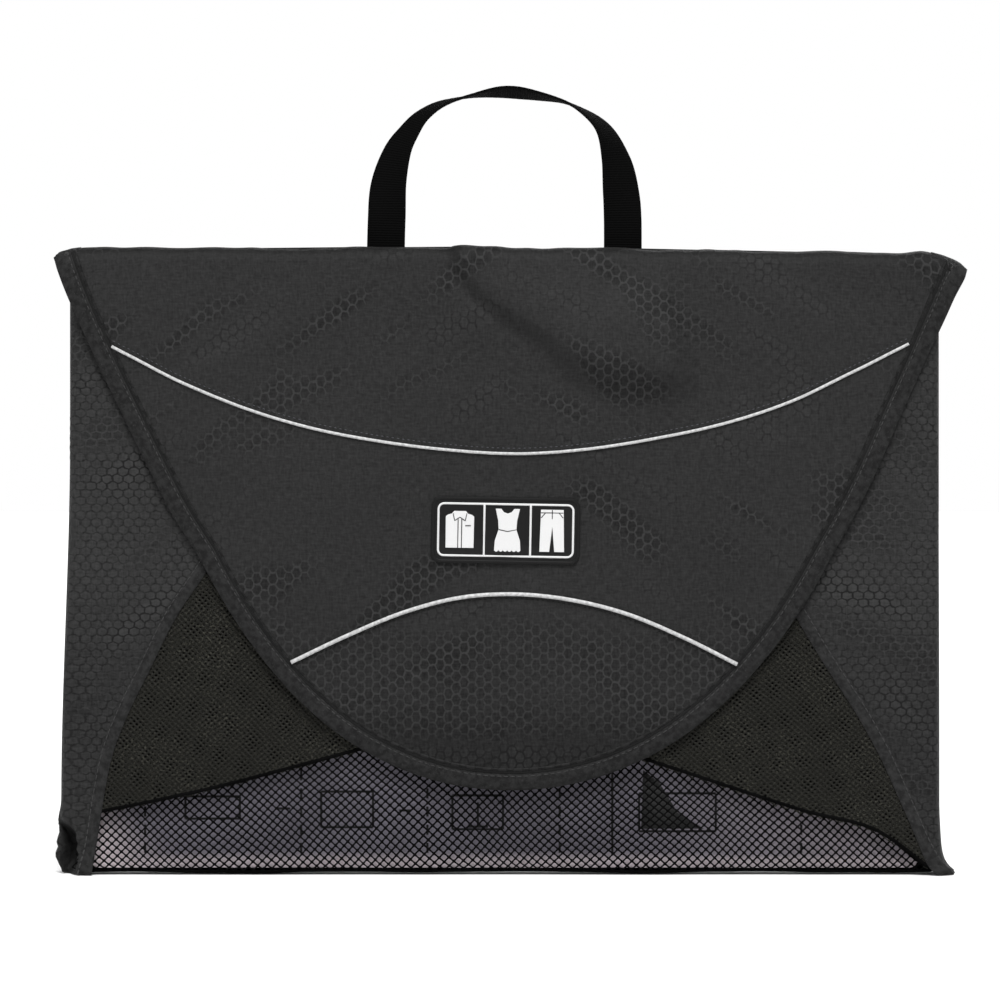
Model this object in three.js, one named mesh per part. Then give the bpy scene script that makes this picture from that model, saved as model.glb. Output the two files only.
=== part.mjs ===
// Garment folder: a cloth and mesh envelope that closes over a folding board.
// Units are millimetres. +Z is up, X runs across the width and the front faces -Y.
// Depths are counted forwards from the outer face of the back panel.
import * as THREE from 'three';

// Overall size
const WIDTH = 430;
const HEIGHT = 308;
const HALF_WIDTH = WIDTH / 2;
const ORIGIN_DEPTH = 3.156;

// Cloth thicknesses and the gap left between sewn neighbours
const CLOTH = 1.2;
const GAP = 0.4;

// Layers, each as [back depth, front depth]
const BACK_RING_LAYER = [0, 2.0];
const BACK_CLOTH_LAYER = [0.5, 1.4];
const BOARD_LAYER = [15.0, 16.0];
const BOTTOM_FLAP_LAYER = [17.4, 18.3];
const BOTTOM_HEM_LAYER = [17.0, 18.5];
const WING_TAPE_LAYER = [19.4, 20.8];
const YOKE_LAYER = [19.6, 20.6];
const WING_MESH_LAYER = [19.8, 20.5];
const LOOP_LAYER = [21.2, 21.9];
const HOOK_LAYER = [22.2, 22.9];
const FLAP_LAYER = [23.2, 24.2];
const FLAP_BINDING_LAYER = [22.9, 24.4];
const PATCH_LAYER = [24.6, 26.2];
const PATCH_PRINT_LAYER = [26.5, 27.0];
const HANDLE_PATCH_LAYER = [-1.9, -0.4];

// Back panel
const BINDING_WIDTH = 10;
const BACK_CORNER = 6;
const BACK_YOKE_HEIGHT = 46;
const FLOOR_CLEARANCE = 1.6;

// Strips that give the folder its depth
const SPINE_DEPTHS = [2.4, 22.4];
const SIDE_GUSSET_DEPTHS = [2.4, 19.1];
const BOTTOM_GUSSET_DEPTHS = [2.4, 16.9];

// Top flap
const FLAP_TIP_X = 222;
const FLAP_SHOULDER = { x: 205, drop: 46 };
const FLAP_BEND = { x: 154, z: 154 };
const FLAP_BOTTOM_Z = 40.5;
const FLAP_FOLD_GAP = 1.5;
const PIPING_RADIUS = 1.0;
const UPPER_PIPING = [[-186, 258], [-110, 225], [0, 207], [110, 225], [186, 258]];
const LOWER_PIPING = [[-103, 105], [-56, 127.5], [0, 138], [56, 127.5], [103, 105]];

// Rubber patch on the flap
const PATCH_CENTRE = { x: 0.8, z: 168.4 };
const PATCH_SIZE = { width: 73.5, height: 34, corner: 5 };
const FRAME_SIZE = { width: 67.5, height: 26.2, corner: 3.6, line: 1.3 };
const DIVIDER_X = [-10.6, 12.4];
const ICON_X = [-22, 1, 23];

// Wings
const WING_FOLD_GAP = 1.8;
const WING_TOP_DROP = 9;
const WING_TIP_X = 4;
const WING_TIP_Z = 78;
const SEAM_TAPE_WIDTH = 5;
const HEM_WIDTH = 3;
const YOKE_SEAM = [[-119, 203], [-147, 150], [-176, 98], [-193, 59], [-201, 20], [-204, 1.6]];
const WING_LOWER_EDGE = [[-196, 28], [-128, 43], [-71, 58], [-4, 78]];
const LOOP_STRIP = { x: 45, z: 92, width: 50, height: 16 };
const HOOK_STRIP = { width: 140, height: 16 };

// Bottom mesh flap
const BOTTOM_FLAP = { baseX: 207, kneeX: 203, kneeZ: 28, topX: 150, topZ: 88, foldGap: 2.2 };

// Folding board
const BOARD = { width: 410, bottom: 1.6, top: 286, corner: 4 };

// Handle
const HANDLE_X = 59.3;
const HANDLE_RISE = 82;
const HANDLE_LEAN = 10;
const STRAP = { width: 19, thickness: 1.5, steps: 56, twistDegrees: 80 };
const HANDLE_PATCH = { width: 24, height: 21, drop: 3 };

const colours = {
  ripstop: 0x353536,
  binding: 0x2f2f30,
  mesh: 0x1c1b1e,
  webbing: 0x151516,
  piping: 0xc9c9cc,
  rubber: 0x1b1a1c,
  print: 0xf1f1f3,
  board: 0xe7e6ec,
  fastener: 0x141415,
};

function material(colour, roughness = 0.85) {
  return new THREE.MeshStandardMaterial({ color: colour, roughness, metalness: 0 });
}

const ripstop = material(colours.ripstop, 0.72);
const bindingCloth = material(colours.binding, 0.8);
const meshCloth = material(colours.mesh, 0.7);
const webbing = material(colours.webbing, 0.85);
const pipingCord = material(colours.piping, 0.55);
const rubber = material(colours.rubber, 0.45);
const whiteRubber = material(colours.print, 0.5);
const boardPlastic = material(colours.board, 0.4);
const fastenerTape = material(colours.fastener, 0.95);

const folder = new THREE.Group();

function add(name, geometry, surface) {
  const mesh = new THREE.Mesh(geometry, surface);
  mesh.name = name;
  folder.add(mesh);
  return mesh;
}

// A flat sheet in the plane of the front: an outline in X and Z, between two depths.
function sheet(name, shape, [back, front], surface) {
  const geometry = new THREE.ExtrudeGeometry(shape, {
    depth: front - back,
    bevelEnabled: false,
    curveSegments: 8,
  });
  const mesh = add(name, geometry, surface);
  mesh.rotation.x = Math.PI / 2;
  mesh.position.y = ORIGIN_DEPTH - back;
  return mesh;
}

// A plain strip between two X values, two depths and two heights.
function strip(name, [x0, x1], [back, front], [z0, z1], surface) {
  const mesh = add(name, new THREE.BoxGeometry(x1 - x0, front - back, z1 - z0), surface);
  mesh.position.set((x0 + x1) / 2, ORIGIN_DEPTH - (back + front) / 2, (z0 + z1) / 2);
  return mesh;
}

function roundedRectangle(centreX, centreZ, width, height, radius, Kind = THREE.Shape) {
  const outline = new Kind();
  const x = centreX - width / 2;
  const z = centreZ - height / 2;
  outline.absarc(x + width - radius, z + radius, radius, -Math.PI / 2, 0, false);
  outline.absarc(x + width - radius, z + height - radius, radius, 0, Math.PI / 2, false);
  outline.absarc(x + radius, z + height - radius, radius, Math.PI / 2, Math.PI, false);
  outline.absarc(x + radius, z + radius, radius, Math.PI, Math.PI * 1.5, false);
  outline.closePath();
  return outline;
}

function rectangle(x0, x1, z0, z1) {
  return polygon([[x0, z0], [x1, z0], [x1, z1], [x0, z1]]);
}

function polygon(points) {
  return new THREE.Shape(points.map(([x, z]) => new THREE.Vector2(x, z)));
}

function smooth(points, count = 24) {
  const curve = new THREE.SplineCurve(points.map(([x, z]) => new THREE.Vector2(x, z)));
  return curve.getSpacedPoints(count).map(({ x, y }) => [x, y]);
}

// The line moved sideways, to the left of its direction of travel.
function offsetLine(points, distance) {
  return points.map(([x, z], index) => {
    const before = points[Math.max(index - 1, 0)];
    const after = points[Math.min(index + 1, points.length - 1)];
    const length = Math.hypot(after[0] - before[0], after[1] - before[1]);
    const normal = [-(after[1] - before[1]) / length, (after[0] - before[0]) / length];
    return [x + normal[0] * distance, z + normal[1] * distance];
  });
}

function mirrored(points) {
  return points.map(([x, z]) => [-x, z]);
}

// Closed outline from the points of its right half.
function bothSides(half) {
  return polygon([...half, ...mirrored(half).reverse()]);
}

// Back panel: mesh below, a solid yoke above and a bound edge round both.
function buildBack() {
  const height = HEIGHT - FLOOR_CLEARANCE;
  const middle = FLOOR_CLEARANCE + height / 2;
  const ring = roundedRectangle(0, middle, WIDTH, height, BACK_CORNER);
  const innerWidth = WIDTH - 2 * BINDING_WIDTH;
  const innerHeight = height - 2 * BINDING_WIDTH;
  ring.holes.push(roundedRectangle(0, middle, innerWidth, innerHeight, 0.3, THREE.Path));
  sheet('back_binding', ring, BACK_RING_LAYER, bindingCloth);

  const x = innerWidth / 2 - GAP;
  const low = FLOOR_CLEARANCE + BINDING_WIDTH + GAP;
  const high = HEIGHT - BINDING_WIDTH - GAP;
  const seam = HEIGHT - BINDING_WIDTH - BACK_YOKE_HEIGHT;
  sheet('back_mesh_panel', rectangle(-x, x, low, seam - GAP), BACK_CLOTH_LAYER, meshCloth);
  sheet('back_yoke', rectangle(-x, x, seam, high), BACK_CLOTH_LAYER, ripstop);
}

// The strips between the back panel and the flaps.
function buildGussets() {
  const across = [-HALF_WIDTH + 0.5, HALF_WIDTH - 0.5];
  strip('bottom_gusset', across, BOTTOM_GUSSET_DEPTHS, [0, CLOTH], meshCloth);
  strip('top_spine_panel', across, SPINE_DEPTHS, [HEIGHT - CLOTH, HEIGHT], ripstop);
  const tall = [CLOTH + GAP, HEIGHT - CLOTH - GAP];
  const left = [-HALF_WIDTH, -HALF_WIDTH + CLOTH];
  const right = [HALF_WIDTH - CLOTH, HALF_WIDTH];
  strip('left_gusset_panel', left, SIDE_GUSSET_DEPTHS, tall, ripstop);
  strip('right_gusset_panel', right, SIDE_GUSSET_DEPTHS, tall, ripstop);
}

// Free edge of the top flap, from its left tip round the bottom to its right tip.
function flapEdge() {
  const top = HEIGHT - FLAP_FOLD_GAP;
  const path = new THREE.Path();
  path.moveTo(-FLAP_TIP_X, top);
  path.quadraticCurveTo(-214, HEIGHT - 26, -FLAP_SHOULDER.x, HEIGHT - FLAP_SHOULDER.drop);
  path.lineTo(-FLAP_BEND.x, FLAP_BEND.z);
  path.bezierCurveTo(-123, 92, -73, FLAP_BOTTOM_Z, 0, FLAP_BOTTOM_Z);
  const left = path.getSpacedPoints(34).map(({ x, y }) => [x, y]);
  return [...left, ...mirrored(left.slice(0, -1)).reverse()];
}

function buildTopFlap() {
  const edge = flapEdge();
  const top = HEIGHT - FLAP_FOLD_GAP;
  const inner = offsetLine(edge, BINDING_WIDTH).map(([x, z]) => [x, Math.min(z, top)]);
  const panel = offsetLine(edge, BINDING_WIDTH + GAP).map(([x, z]) => [x, Math.min(z, top)]);
  sheet('top_flap_binding', polygon([...edge, ...inner.reverse()]), FLAP_BINDING_LAYER, bindingCloth);
  sheet('top_flap_panel', polygon(panel), FLAP_LAYER, ripstop);
  piping('upper_piping', UPPER_PIPING);
  piping('lower_piping', LOWER_PIPING);
  const hookX = HOOK_STRIP.width / 2;
  const hookLow = LOOP_STRIP.z - HOOK_STRIP.height / 2;
  const hookShape = rectangle(-hookX, hookX, hookLow, hookLow + HOOK_STRIP.height);
  sheet('flap_hook_strip', hookShape, HOOK_LAYER, fastenerTape);
}

function piping(name, points) {
  const y = ORIGIN_DEPTH - FLAP_LAYER[1] - GAP - PIPING_RADIUS;
  const curve = new THREE.CatmullRomCurve3(points.map(([x, z]) => new THREE.Vector3(x, y, z)));
  const section = new THREE.Shape();
  section.absarc(0, 0, PIPING_RADIUS, 0, Math.PI * 2, false);
  const options = { steps: 48, bevelEnabled: false, curveSegments: 4, extrudePath: curve };
  add(name, new THREE.ExtrudeGeometry(section, options), pipingCord);
}

// Moulded patch: a black plate, a white frame with two dividers, three pictograms.
function buildPatch() {
  const { x, z } = PATCH_CENTRE;
  const plate = roundedRectangle(x, z, PATCH_SIZE.width, PATCH_SIZE.height, PATCH_SIZE.corner);
  sheet('rubber_patch', plate, PATCH_LAYER, rubber);

  const { width, height, corner, line } = FRAME_SIZE;
  const frame = roundedRectangle(x, z, width, height, corner);
  const windowEdges = [-width / 2, ...DIVIDER_X, width / 2];
  for (let index = 1; index < windowEdges.length; index += 1) {
    const left = windowEdges[index - 1] + (index === 1 ? line : line / 2);
    const right = windowEdges[index] - (index === 3 ? line : line / 2);
    const centre = x + (left + right) / 2;
    frame.holes.push(roundedRectangle(centre, z, right - left, height - 2 * line, 1.6, THREE.Path));
  }
  sheet('patch_frame', frame, PATCH_PRINT_LAYER, whiteRubber);

  const pictograms = [
    ['shirt_pictogram', [[-3.5, -8], [3.5, -8], [3.5, 2], [6.5, 0], [7.6, 4], [3, 8], [-3, 8], [-7.6, 4],
      [-6.5, 0], [-3.5, 2]]],
    ['dress_pictogram', [[-6.5, -8], [6.5, -8], [2.4, 1.5], [3.6, 8], [1.8, 8], [0, 5.2], [-1.8, 8],
      [-3.6, 8], [-2.4, 1.5]]],
    ['trousers_pictogram', [[-5.6, -8], [-1.6, -8], [0, 3.4], [1.6, -8], [5.6, -8], [4.2, 8], [-4.2, 8]]],
  ];
  pictograms.forEach(([name, outline], index) => {
    const placed = outline.map(([dx, dz]) => [x + ICON_X[index] + dx, z + dz]);
    sheet(name, polygon(placed), PATCH_PRINT_LAYER, whiteRubber);
  });
}

// One wing, drawn for the left side and mirrored for the right.
function buildWing(side) {
  const place = side === 'left' ? (points) => points : mirrored;
  const outerX = -HALF_WIDTH + WING_FOLD_GAP;
  // The hidden upper edge falls at 45 degrees from the side to the tip.
  const upperZ = (x) => HEIGHT - WING_TOP_DROP - (x + HALF_WIDTH);
  const seam = smooth(YOKE_SEAM);
  const yoke = [[outerX, upperZ(outerX)], ...seam, [outerX, FLOOR_CLEARANCE]];
  sheet(`${side}_wing_yoke`, polygon(place(yoke)), YOKE_LAYER, ripstop);

  // Seam tape beside the yoke, cut off at the upper and lower edges of the mesh.
  const lowerEdge = smooth(WING_LOWER_EDGE, 20);
  const tapeOuter = offsetLine(seam, GAP).filter(([, z]) => z > WING_LOWER_EDGE[0][1]);
  const tapeInner = offsetLine(seam, GAP + SEAM_TAPE_WIDTH).filter(([, z]) => z > WING_LOWER_EDGE[0][1]);
  const clipped = (points) => points.map(([x, z]) => [x, Math.min(z, upperZ(x))]);
  const tape = [...clipped(tapeOuter), ...clipped(tapeInner).reverse()];
  sheet(`${side}_wing_seam_tape`, polygon(place(tape)), WING_TAPE_LAYER, bindingCloth);

  // Hem along both free edges, meeting at the tip.
  const startX = tapeInner[0][0] + GAP + 1;
  const hemOuterUpper = [[startX, upperZ(startX)], [-WING_TIP_X, upperZ(-WING_TIP_X)]];
  const hemOuterLower = [...lowerEdge].reverse();
  const firstLower = tapeInner[tapeInner.length - 1][0] + GAP + 1;
  const lowerOuter = hemOuterLower.filter(([x]) => x > firstLower);
  const lowerInner = lowerOuter.map(([x, z]) => [x, z + HEM_WIDTH]);
  const drop = HEM_WIDTH * Math.SQRT2;
  const innerTipX = -WING_TIP_X - 14;
  const upperInner = [[innerTipX, upperZ(innerTipX) - drop], [startX, upperZ(startX) - drop]];
  const lowerInnerInside = lowerInner.filter(([x]) => x < innerTipX);
  const hem = [...hemOuterUpper, ...lowerOuter, ...lowerInnerInside.reverse(), ...upperInner];
  sheet(`${side}_wing_hem`, polygon(place(hem)), WING_TAPE_LAYER, meshCloth);

  // Mesh panel inside the tape and the hem.
  const meshX = (points) => offsetLine(points, GAP);
  const sideLine = meshX(tapeInner).filter(([x, z]) => z < upperZ(x) - drop - 2 && z > 40);
  const meshLower = lowerInnerInside.filter(([x]) => x > sideLine[sideLine.length - 1][0] + 2);
  const panel = [
    [startX, upperZ(startX) - drop - GAP * 2],
    [innerTipX - 1, upperZ(innerTipX - 1) - drop - GAP * 2],
    ...meshLower.map(([x, z]) => [x, z + GAP]).sort((a, b) => b[0] - a[0]),
    ...[...sideLine].reverse(),
  ];
  sheet(`${side}_wing_mesh`, polygon(place(panel)), WING_MESH_LAYER, meshCloth);

  const { x, z, width, height } = LOOP_STRIP;
  const centre = side === 'left' ? -x : x;
  const loop = rectangle(centre - width / 2, centre + width / 2, z - height / 2, z + height / 2);
  sheet(`${side}_wing_loop_strip`, loop, LOOP_LAYER, fastenerTape);
}

function buildBottomFlap() {
  const { baseX, kneeX, kneeZ, topX, topZ, foldGap } = BOTTOM_FLAP;
  const hemZ = topZ - 6;
  const slope = (topX - kneeX) / (topZ - kneeZ);
  const hemX = kneeX + slope * (hemZ - GAP - kneeZ);
  const meshHalf = [[baseX, foldGap], [kneeX, kneeZ], [hemX, hemZ - GAP]];
  sheet('bottom_mesh_flap', bothSides(meshHalf), BOTTOM_FLAP_LAYER, meshCloth);
  const hemHalf = [[kneeX + slope * (hemZ - kneeZ), hemZ], [topX, topZ]];
  sheet('bottom_flap_hem', bothSides(hemHalf), BOTTOM_HEM_LAYER, bindingCloth);
}

function buildBoard() {
  const { width, bottom, top, corner } = BOARD;
  const outline = roundedRectangle(0, (bottom + top) / 2, width, top - bottom, corner);
  sheet('folding_board', outline, BOARD_LAYER, boardPlastic);
}

// Webbing loop: flat against the back at its feet, turned edge-on over its crown.
function buildHandle() {
  const footZ = HEIGHT - 2.2;
  const crownZ = HEIGHT + HANDLE_RISE;
  const left = [[-HANDLE_X, footZ], [-HANDLE_X, HEIGHT + 20], [-56, HEIGHT + 38], [-47, crownZ - 16],
    [-28, crownZ - 4]];
  const route = [...left, [0, crownZ], ...mirrored(left).reverse()];
  const footDepth = (HANDLE_PATCH_LAYER[0] + HANDLE_PATCH_LAYER[1]) / 2;
  const leanAt = (z) => HANDLE_LEAN * THREE.MathUtils.smoothstep(z, HEIGHT + 8, crownZ);
  const path = new THREE.CatmullRomCurve3(
    route.map(([x, z]) => new THREE.Vector3(x, ORIGIN_DEPTH - footDepth + leanAt(z), z)),
  );
  const strap = new THREE.BoxGeometry(STRAP.width, STRAP.thickness, 1, 1, 1, STRAP.steps);
  const position = strap.attributes.position;
  for (let index = 0; index < position.count; index += 1) {
    const along = THREE.MathUtils.clamp(position.getZ(index) + 0.5, 0, 1);
    const centre = path.getPointAt(along);
    const tangent = path.getTangentAt(along);
    const rise = THREE.MathUtils.smoothstep(centre.z, HEIGHT + 30, crownZ - 6);
    const twist = THREE.MathUtils.degToRad(STRAP.twistDegrees) * rise;
    const depthAxis = new THREE.Vector3(0, 1, 0);
    const inPlane = new THREE.Vector3().crossVectors(depthAxis, tangent).normalize();
    const normal = new THREE.Vector3().crossVectors(tangent, inPlane).normalize();
    const widthAxis = inPlane.clone().multiplyScalar(Math.cos(twist));
    widthAxis.addScaledVector(normal, Math.sin(twist));
    const thickAxis = new THREE.Vector3().crossVectors(tangent, widthAxis);
    centre.addScaledVector(widthAxis, position.getX(index));
    centre.addScaledVector(thickAxis, position.getY(index));
    position.setXYZ(index, centre.x, centre.y, centre.z);
  }
  add('handle_webbing', strap, webbing);

  for (const [name, x] of [['left_handle_patch', -HANDLE_X], ['right_handle_patch', HANDLE_X]]) {
    const top = HEIGHT - HANDLE_PATCH.drop;
    const across = [x - HANDLE_PATCH.width / 2, x + HANDLE_PATCH.width / 2];
    strip(name, across, HANDLE_PATCH_LAYER, [top - HANDLE_PATCH.height, top], webbing);
  }
}

buildBack();
buildGussets();
buildTopFlap();
buildPatch();
buildWing('left');
buildWing('right');
buildBottomFlap();
buildBoard();
buildHandle();

export default folder;
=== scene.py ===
"""Garment folder: cloth, mesh, binding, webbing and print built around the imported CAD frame."""
import math

import bpy
import numpy as np
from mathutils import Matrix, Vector
from mathutils.geometry import delaunay_2d_cdt


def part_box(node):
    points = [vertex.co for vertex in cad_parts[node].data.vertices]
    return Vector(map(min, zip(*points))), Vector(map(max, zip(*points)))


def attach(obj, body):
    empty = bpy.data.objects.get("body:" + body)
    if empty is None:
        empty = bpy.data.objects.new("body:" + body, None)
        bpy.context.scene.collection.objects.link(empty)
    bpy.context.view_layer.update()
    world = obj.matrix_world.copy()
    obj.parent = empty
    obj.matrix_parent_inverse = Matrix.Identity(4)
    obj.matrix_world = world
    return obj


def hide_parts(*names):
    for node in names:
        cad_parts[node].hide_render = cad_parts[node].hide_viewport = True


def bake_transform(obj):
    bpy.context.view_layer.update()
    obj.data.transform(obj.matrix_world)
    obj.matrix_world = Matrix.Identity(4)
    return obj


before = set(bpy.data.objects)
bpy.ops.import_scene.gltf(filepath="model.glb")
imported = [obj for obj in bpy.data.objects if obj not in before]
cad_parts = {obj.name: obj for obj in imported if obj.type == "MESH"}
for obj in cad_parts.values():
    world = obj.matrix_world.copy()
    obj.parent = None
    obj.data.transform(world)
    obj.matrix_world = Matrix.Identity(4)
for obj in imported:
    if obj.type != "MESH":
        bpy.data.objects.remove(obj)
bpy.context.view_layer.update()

MM = 0.001
QUARTER = math.pi / 2
SQUARE = ((-1, -1), (1, -1), (1, 1), (-1, 1))
HEX_ROW = math.sqrt(3) / 2


# ---------------------------------------------------------------- frame sizes
def node_box(name):
    """Lowest and highest corner of a CAD node, in millimetres."""
    low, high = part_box(name)
    return np.array(low) / MM, np.array(high) / MM


def front_face(name):
    """Middle and size of a node as seen from the front."""
    low, high = node_box(name)
    return (low + high)[[0, 2]] / 2, (high - low)[[0, 2]]


BACK_LOW, BACK_HIGH = node_box("back_binding")
BACK_Y = BACK_HIGH[1]
HALF_WIDTH = BACK_HIGH[0]
TOP = BACK_HIGH[2]


def front_depth(name):
    """How far a node's front lies in front of the folder's back."""
    return BACK_Y - node_box(name)[0][1]


FLAP_DEPTH = front_depth("top_flap_panel")
WING_DEPTH = front_depth("left_wing_yoke")
BOTTOM_DEPTH = front_depth("bottom_mesh_flap")
BOARD_LOW, BOARD_HIGH = node_box("folding_board")


# ---------------------------------------------------------------- viewpoint
PHOTO_WIDTH = 0.493
LENS = 100
SENSOR = 36
CENTRE = Vector((-0.002, 0, 0.184))
FRONT = -(FLAP_DEPTH - BACK_Y) * MM


# ---------------------------------------------------------------- small maths
def smoothstep(value, low, high):
    t = np.clip((value - low) / (high - low), 0, 1)
    return t * t * (3 - 2 * t)


def ripple(p, size, seed, waves=9):
    """Smooth random height from -1 to 1 or so, with lumps of about size millimetres."""
    rng = np.random.default_rng(seed)
    angle = rng.uniform(0, 2 * math.pi, waves)
    scale = 2 * math.pi / (size * rng.uniform(1.3, 2.9, waves))
    phase = rng.uniform(0, 2 * math.pi, waves)
    wave = p[:, :1] * np.cos(angle) * scale + p[:, 1:2] * np.sin(angle) * scale + phase
    return np.sin(wave).sum(1) / math.sqrt(waves) * 0.8


def bezier(a, b, c, d, count=40):
    t = np.linspace(0, 1, count)[:, None]
    a, b, c, d = (np.array(q, float) for q in (a, b, c, d))
    return a * (1 - t) ** 3 + 3 * b * t * (1 - t) ** 2 + 3 * c * t * t * (1 - t) + d * t ** 3


def curve(points, count=60):
    """Smooth line through the points (Catmull-Rom), any number of columns."""
    q = np.array(points, float)
    q = np.vstack([2 * q[0] - q[1], q, 2 * q[-1] - q[-2]])
    out = []
    steps = max(2, count // (len(q) - 3))
    for a, b, c, d in zip(q, q[1:], q[2:], q[3:]):
        t = np.linspace(0, 1, steps, endpoint=False)[:, None]
        out.append(0.5 * (2 * b + (c - a) * t + (2 * a - 5 * b + 4 * c - d) * t ** 2
                          + (3 * b - a - 3 * c + d) * t ** 3))
    return np.vstack([*out, q[-2:-1]])


def distance_along(line):
    """How far along the line each of its points is."""
    return np.concatenate([[0], np.cumsum(np.linalg.norm(np.diff(line, axis=0), axis=1))])


def resample(line, step):
    """The same line with its points an even step apart."""
    gone = distance_along(line)
    count = max(2, int(round(gone[-1] / step)) + 1)
    at = np.linspace(0, gone[-1], count)
    return np.stack([np.interp(at, gone, line[:, k]) for k in range(line.shape[1])], 1)


def unit(vectors):
    return vectors / np.linalg.norm(vectors, axis=1)[:, None]


def left_normals(line):
    t = unit(np.gradient(line, axis=0))
    return np.stack([-t[:, 1], t[:, 0]], 1)


def beside(line, distance):
    """The line moved sideways, to the left of its direction."""
    return line + left_normals(line) * distance


def distance_to(p, line):
    """Distance of each point from a line of short pieces."""
    best = np.full(len(p), 1e9)
    for a, b in zip(line, line[1:]):
        d = b - a
        t = np.clip(((p - a) @ d) / max(d @ d, 1e-9), 0, 1)
        best = np.minimum(best, np.linalg.norm(p - a - t[:, None] * d, axis=1))
    return best


def past_line(p, line):
    """Signed distance from a line, positive on its left, and how far along it: 0 to 1."""
    best = np.full(len(p), 1e9)
    signed, share = np.zeros(len(p)), np.zeros(len(p))
    for i, (a, b) in enumerate(zip(line, line[1:])):
        d = b - a
        t = np.clip(((p - a) @ d) / max(d @ d, 1e-9), 0, 1)
        apart = p - a - t[:, None] * d
        length = np.linalg.norm(apart, axis=1)
        nearer = length < best
        best = np.where(nearer, length, best)
        signed = np.where(nearer, np.sign(d[0] * apart[:, 1] - d[1] * apart[:, 0]) * length, signed)
        share = np.where(nearer, (i + t) / (len(line) - 1), share)
    return signed, share


def signed_area(outline):
    """Area inside an outline, positive if it runs anticlockwise."""
    x, y = outline[:, 0], outline[:, 1]
    return (x @ np.roll(y, -1) - y @ np.roll(x, -1)) / 2


def looped(outline):
    return np.vstack([outline, outline[:1]])


def evenly(outline, step):
    """A closed outline with its points an even step apart."""
    return resample(looped(np.asarray(outline, float)), step)[:-1]


def inside(p, outline):
    hit = np.zeros(len(p), bool)
    for (x0, y0), (x1, y1) in zip(outline, np.roll(outline, -1, 0)):
        if y0 != y1:
            crosses = (y0 > p[:, 1]) != (y1 > p[:, 1])
            hit ^= crosses & (p[:, 0] < (x1 - x0) * (p[:, 1] - y0) / (y1 - y0) + x0)
    return hit


def turn_corner(along, start, radius):
    """A sheet that runs straight to start, bends a quarter turn and runs on:
    how far it gets ahead, and how far it gets sideways."""
    turn = np.clip((along - start) / radius, 0, QUARTER)
    beyond = np.maximum(along - start - radius * QUARTER, 0)
    ahead = np.minimum(along, start) + radius * np.sin(turn)
    return ahead, radius * (1 - np.cos(turn)) + beyond


# ---------------------------------------------------------------- cloth surfaces
class Surface:
    """Maps pattern points, in millimetres, to the folder's frame, with a relief on top."""

    def __init__(self, base, relief=None):
        self.base = base
        self.relief = relief or (lambda p: np.zeros(len(p)))

    def at(self, p, lift=0.0):
        e = 0.05
        du = self.base(p + [e, 0]) - self.base(p - [e, 0])
        dv = self.base(p + [0, e]) - self.base(p - [0, e])
        n = np.cross(du, dv)
        n /= np.linalg.norm(n, axis=1)[:, None]
        return self.base(p) + n * (self.relief(p) + lift)[:, None]


def in_space(x, depth, z):
    return np.stack([x, BACK_Y - depth, z], 1)


# ---------------------------------------------------------------- mesh makers
def new_piece(name, points, faces, uv, material):
    """A smooth mesh from points in millimetres, with the pattern coordinates as its UVs."""
    name = name + "_sewn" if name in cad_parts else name
    mesh = bpy.data.meshes.new(name)
    mesh.from_pydata((np.asarray(points) * MM).tolist(), [], [list(map(int, f)) for f in faces])
    layer = mesh.uv_layers.new(name="pattern")
    index = np.zeros(len(mesh.loops), np.int32)
    mesh.loops.foreach_get("vertex_index", index)
    layer.data.foreach_set("uv", (np.asarray(uv)[index] * MM).astype(np.float32).ravel())
    mesh.polygons.foreach_set("use_smooth", np.ones(len(mesh.polygons), bool))
    mesh.materials.append(material)
    mesh.update()
    piece = bpy.data.objects.new(name, mesh)
    bpy.context.scene.collection.objects.link(piece)
    return piece


def triangulated(outline, spacing):
    """Triangles that fill an outline, with inner points on an even triangular grid."""
    low, high = outline.min(0), outline.max(0)
    rows = np.arange(low[1], high[1], spacing * HEX_ROW)
    columns = np.arange(low[0], high[0], spacing)
    grid = np.array([(x + (j % 2) * spacing / 2, y) for j, y in enumerate(rows) for x in columns])
    grid = grid[inside(grid, outline)]
    grid = grid[distance_to(grid, looped(outline)) > spacing * 0.5]
    points = [Vector(q) for q in np.vstack([outline, grid])]
    loop = list(range(len(outline)))
    verts, _, faces, *_ = delaunay_2d_cdt(points, [], [loop], 1, 1e-6)
    return np.array([tuple(v) for v in verts]), np.array(faces)


def sheet_piece(name, outline, surface, thickness, material, spacing=3.0, lift=0.0):
    """A closed thin sheet that covers an outline of the pattern."""
    if signed_area(outline) < 0:
        outline = outline[::-1]
    p, faces = triangulated(outline, spacing)
    count = len(p)
    front = surface.at(p, np.full(count, lift + thickness / 2))
    back = surface.at(p, np.full(count, lift - thickness / 2))
    edges = np.concatenate([faces[:, [0, 1]], faces[:, [1, 2]], faces[:, [2, 0]]])
    known = set(map(tuple, edges.tolist()))
    rim = [(j, i, i + count, j + count) for i, j in known if (j, i) not in known]
    every = [*faces.tolist(), *(faces[:, ::-1] + count).tolist(), *rim]
    return new_piece(name, np.vstack([front, back]), every, np.vstack([p, p]), material)


def fix_direction(piece):
    """Turns the faces outward if they look inward."""
    mesh = piece.data
    co = np.array([v.co for v in mesh.vertices])
    volume = 0.0
    for f in mesh.polygons:
        v = co[list(f.vertices)]
        for i in range(1, len(v) - 1):
            volume += v[0] @ np.cross(v[i], v[i + 1])
    if volume < 0:
        mesh.flip_normals()
    return piece


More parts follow.
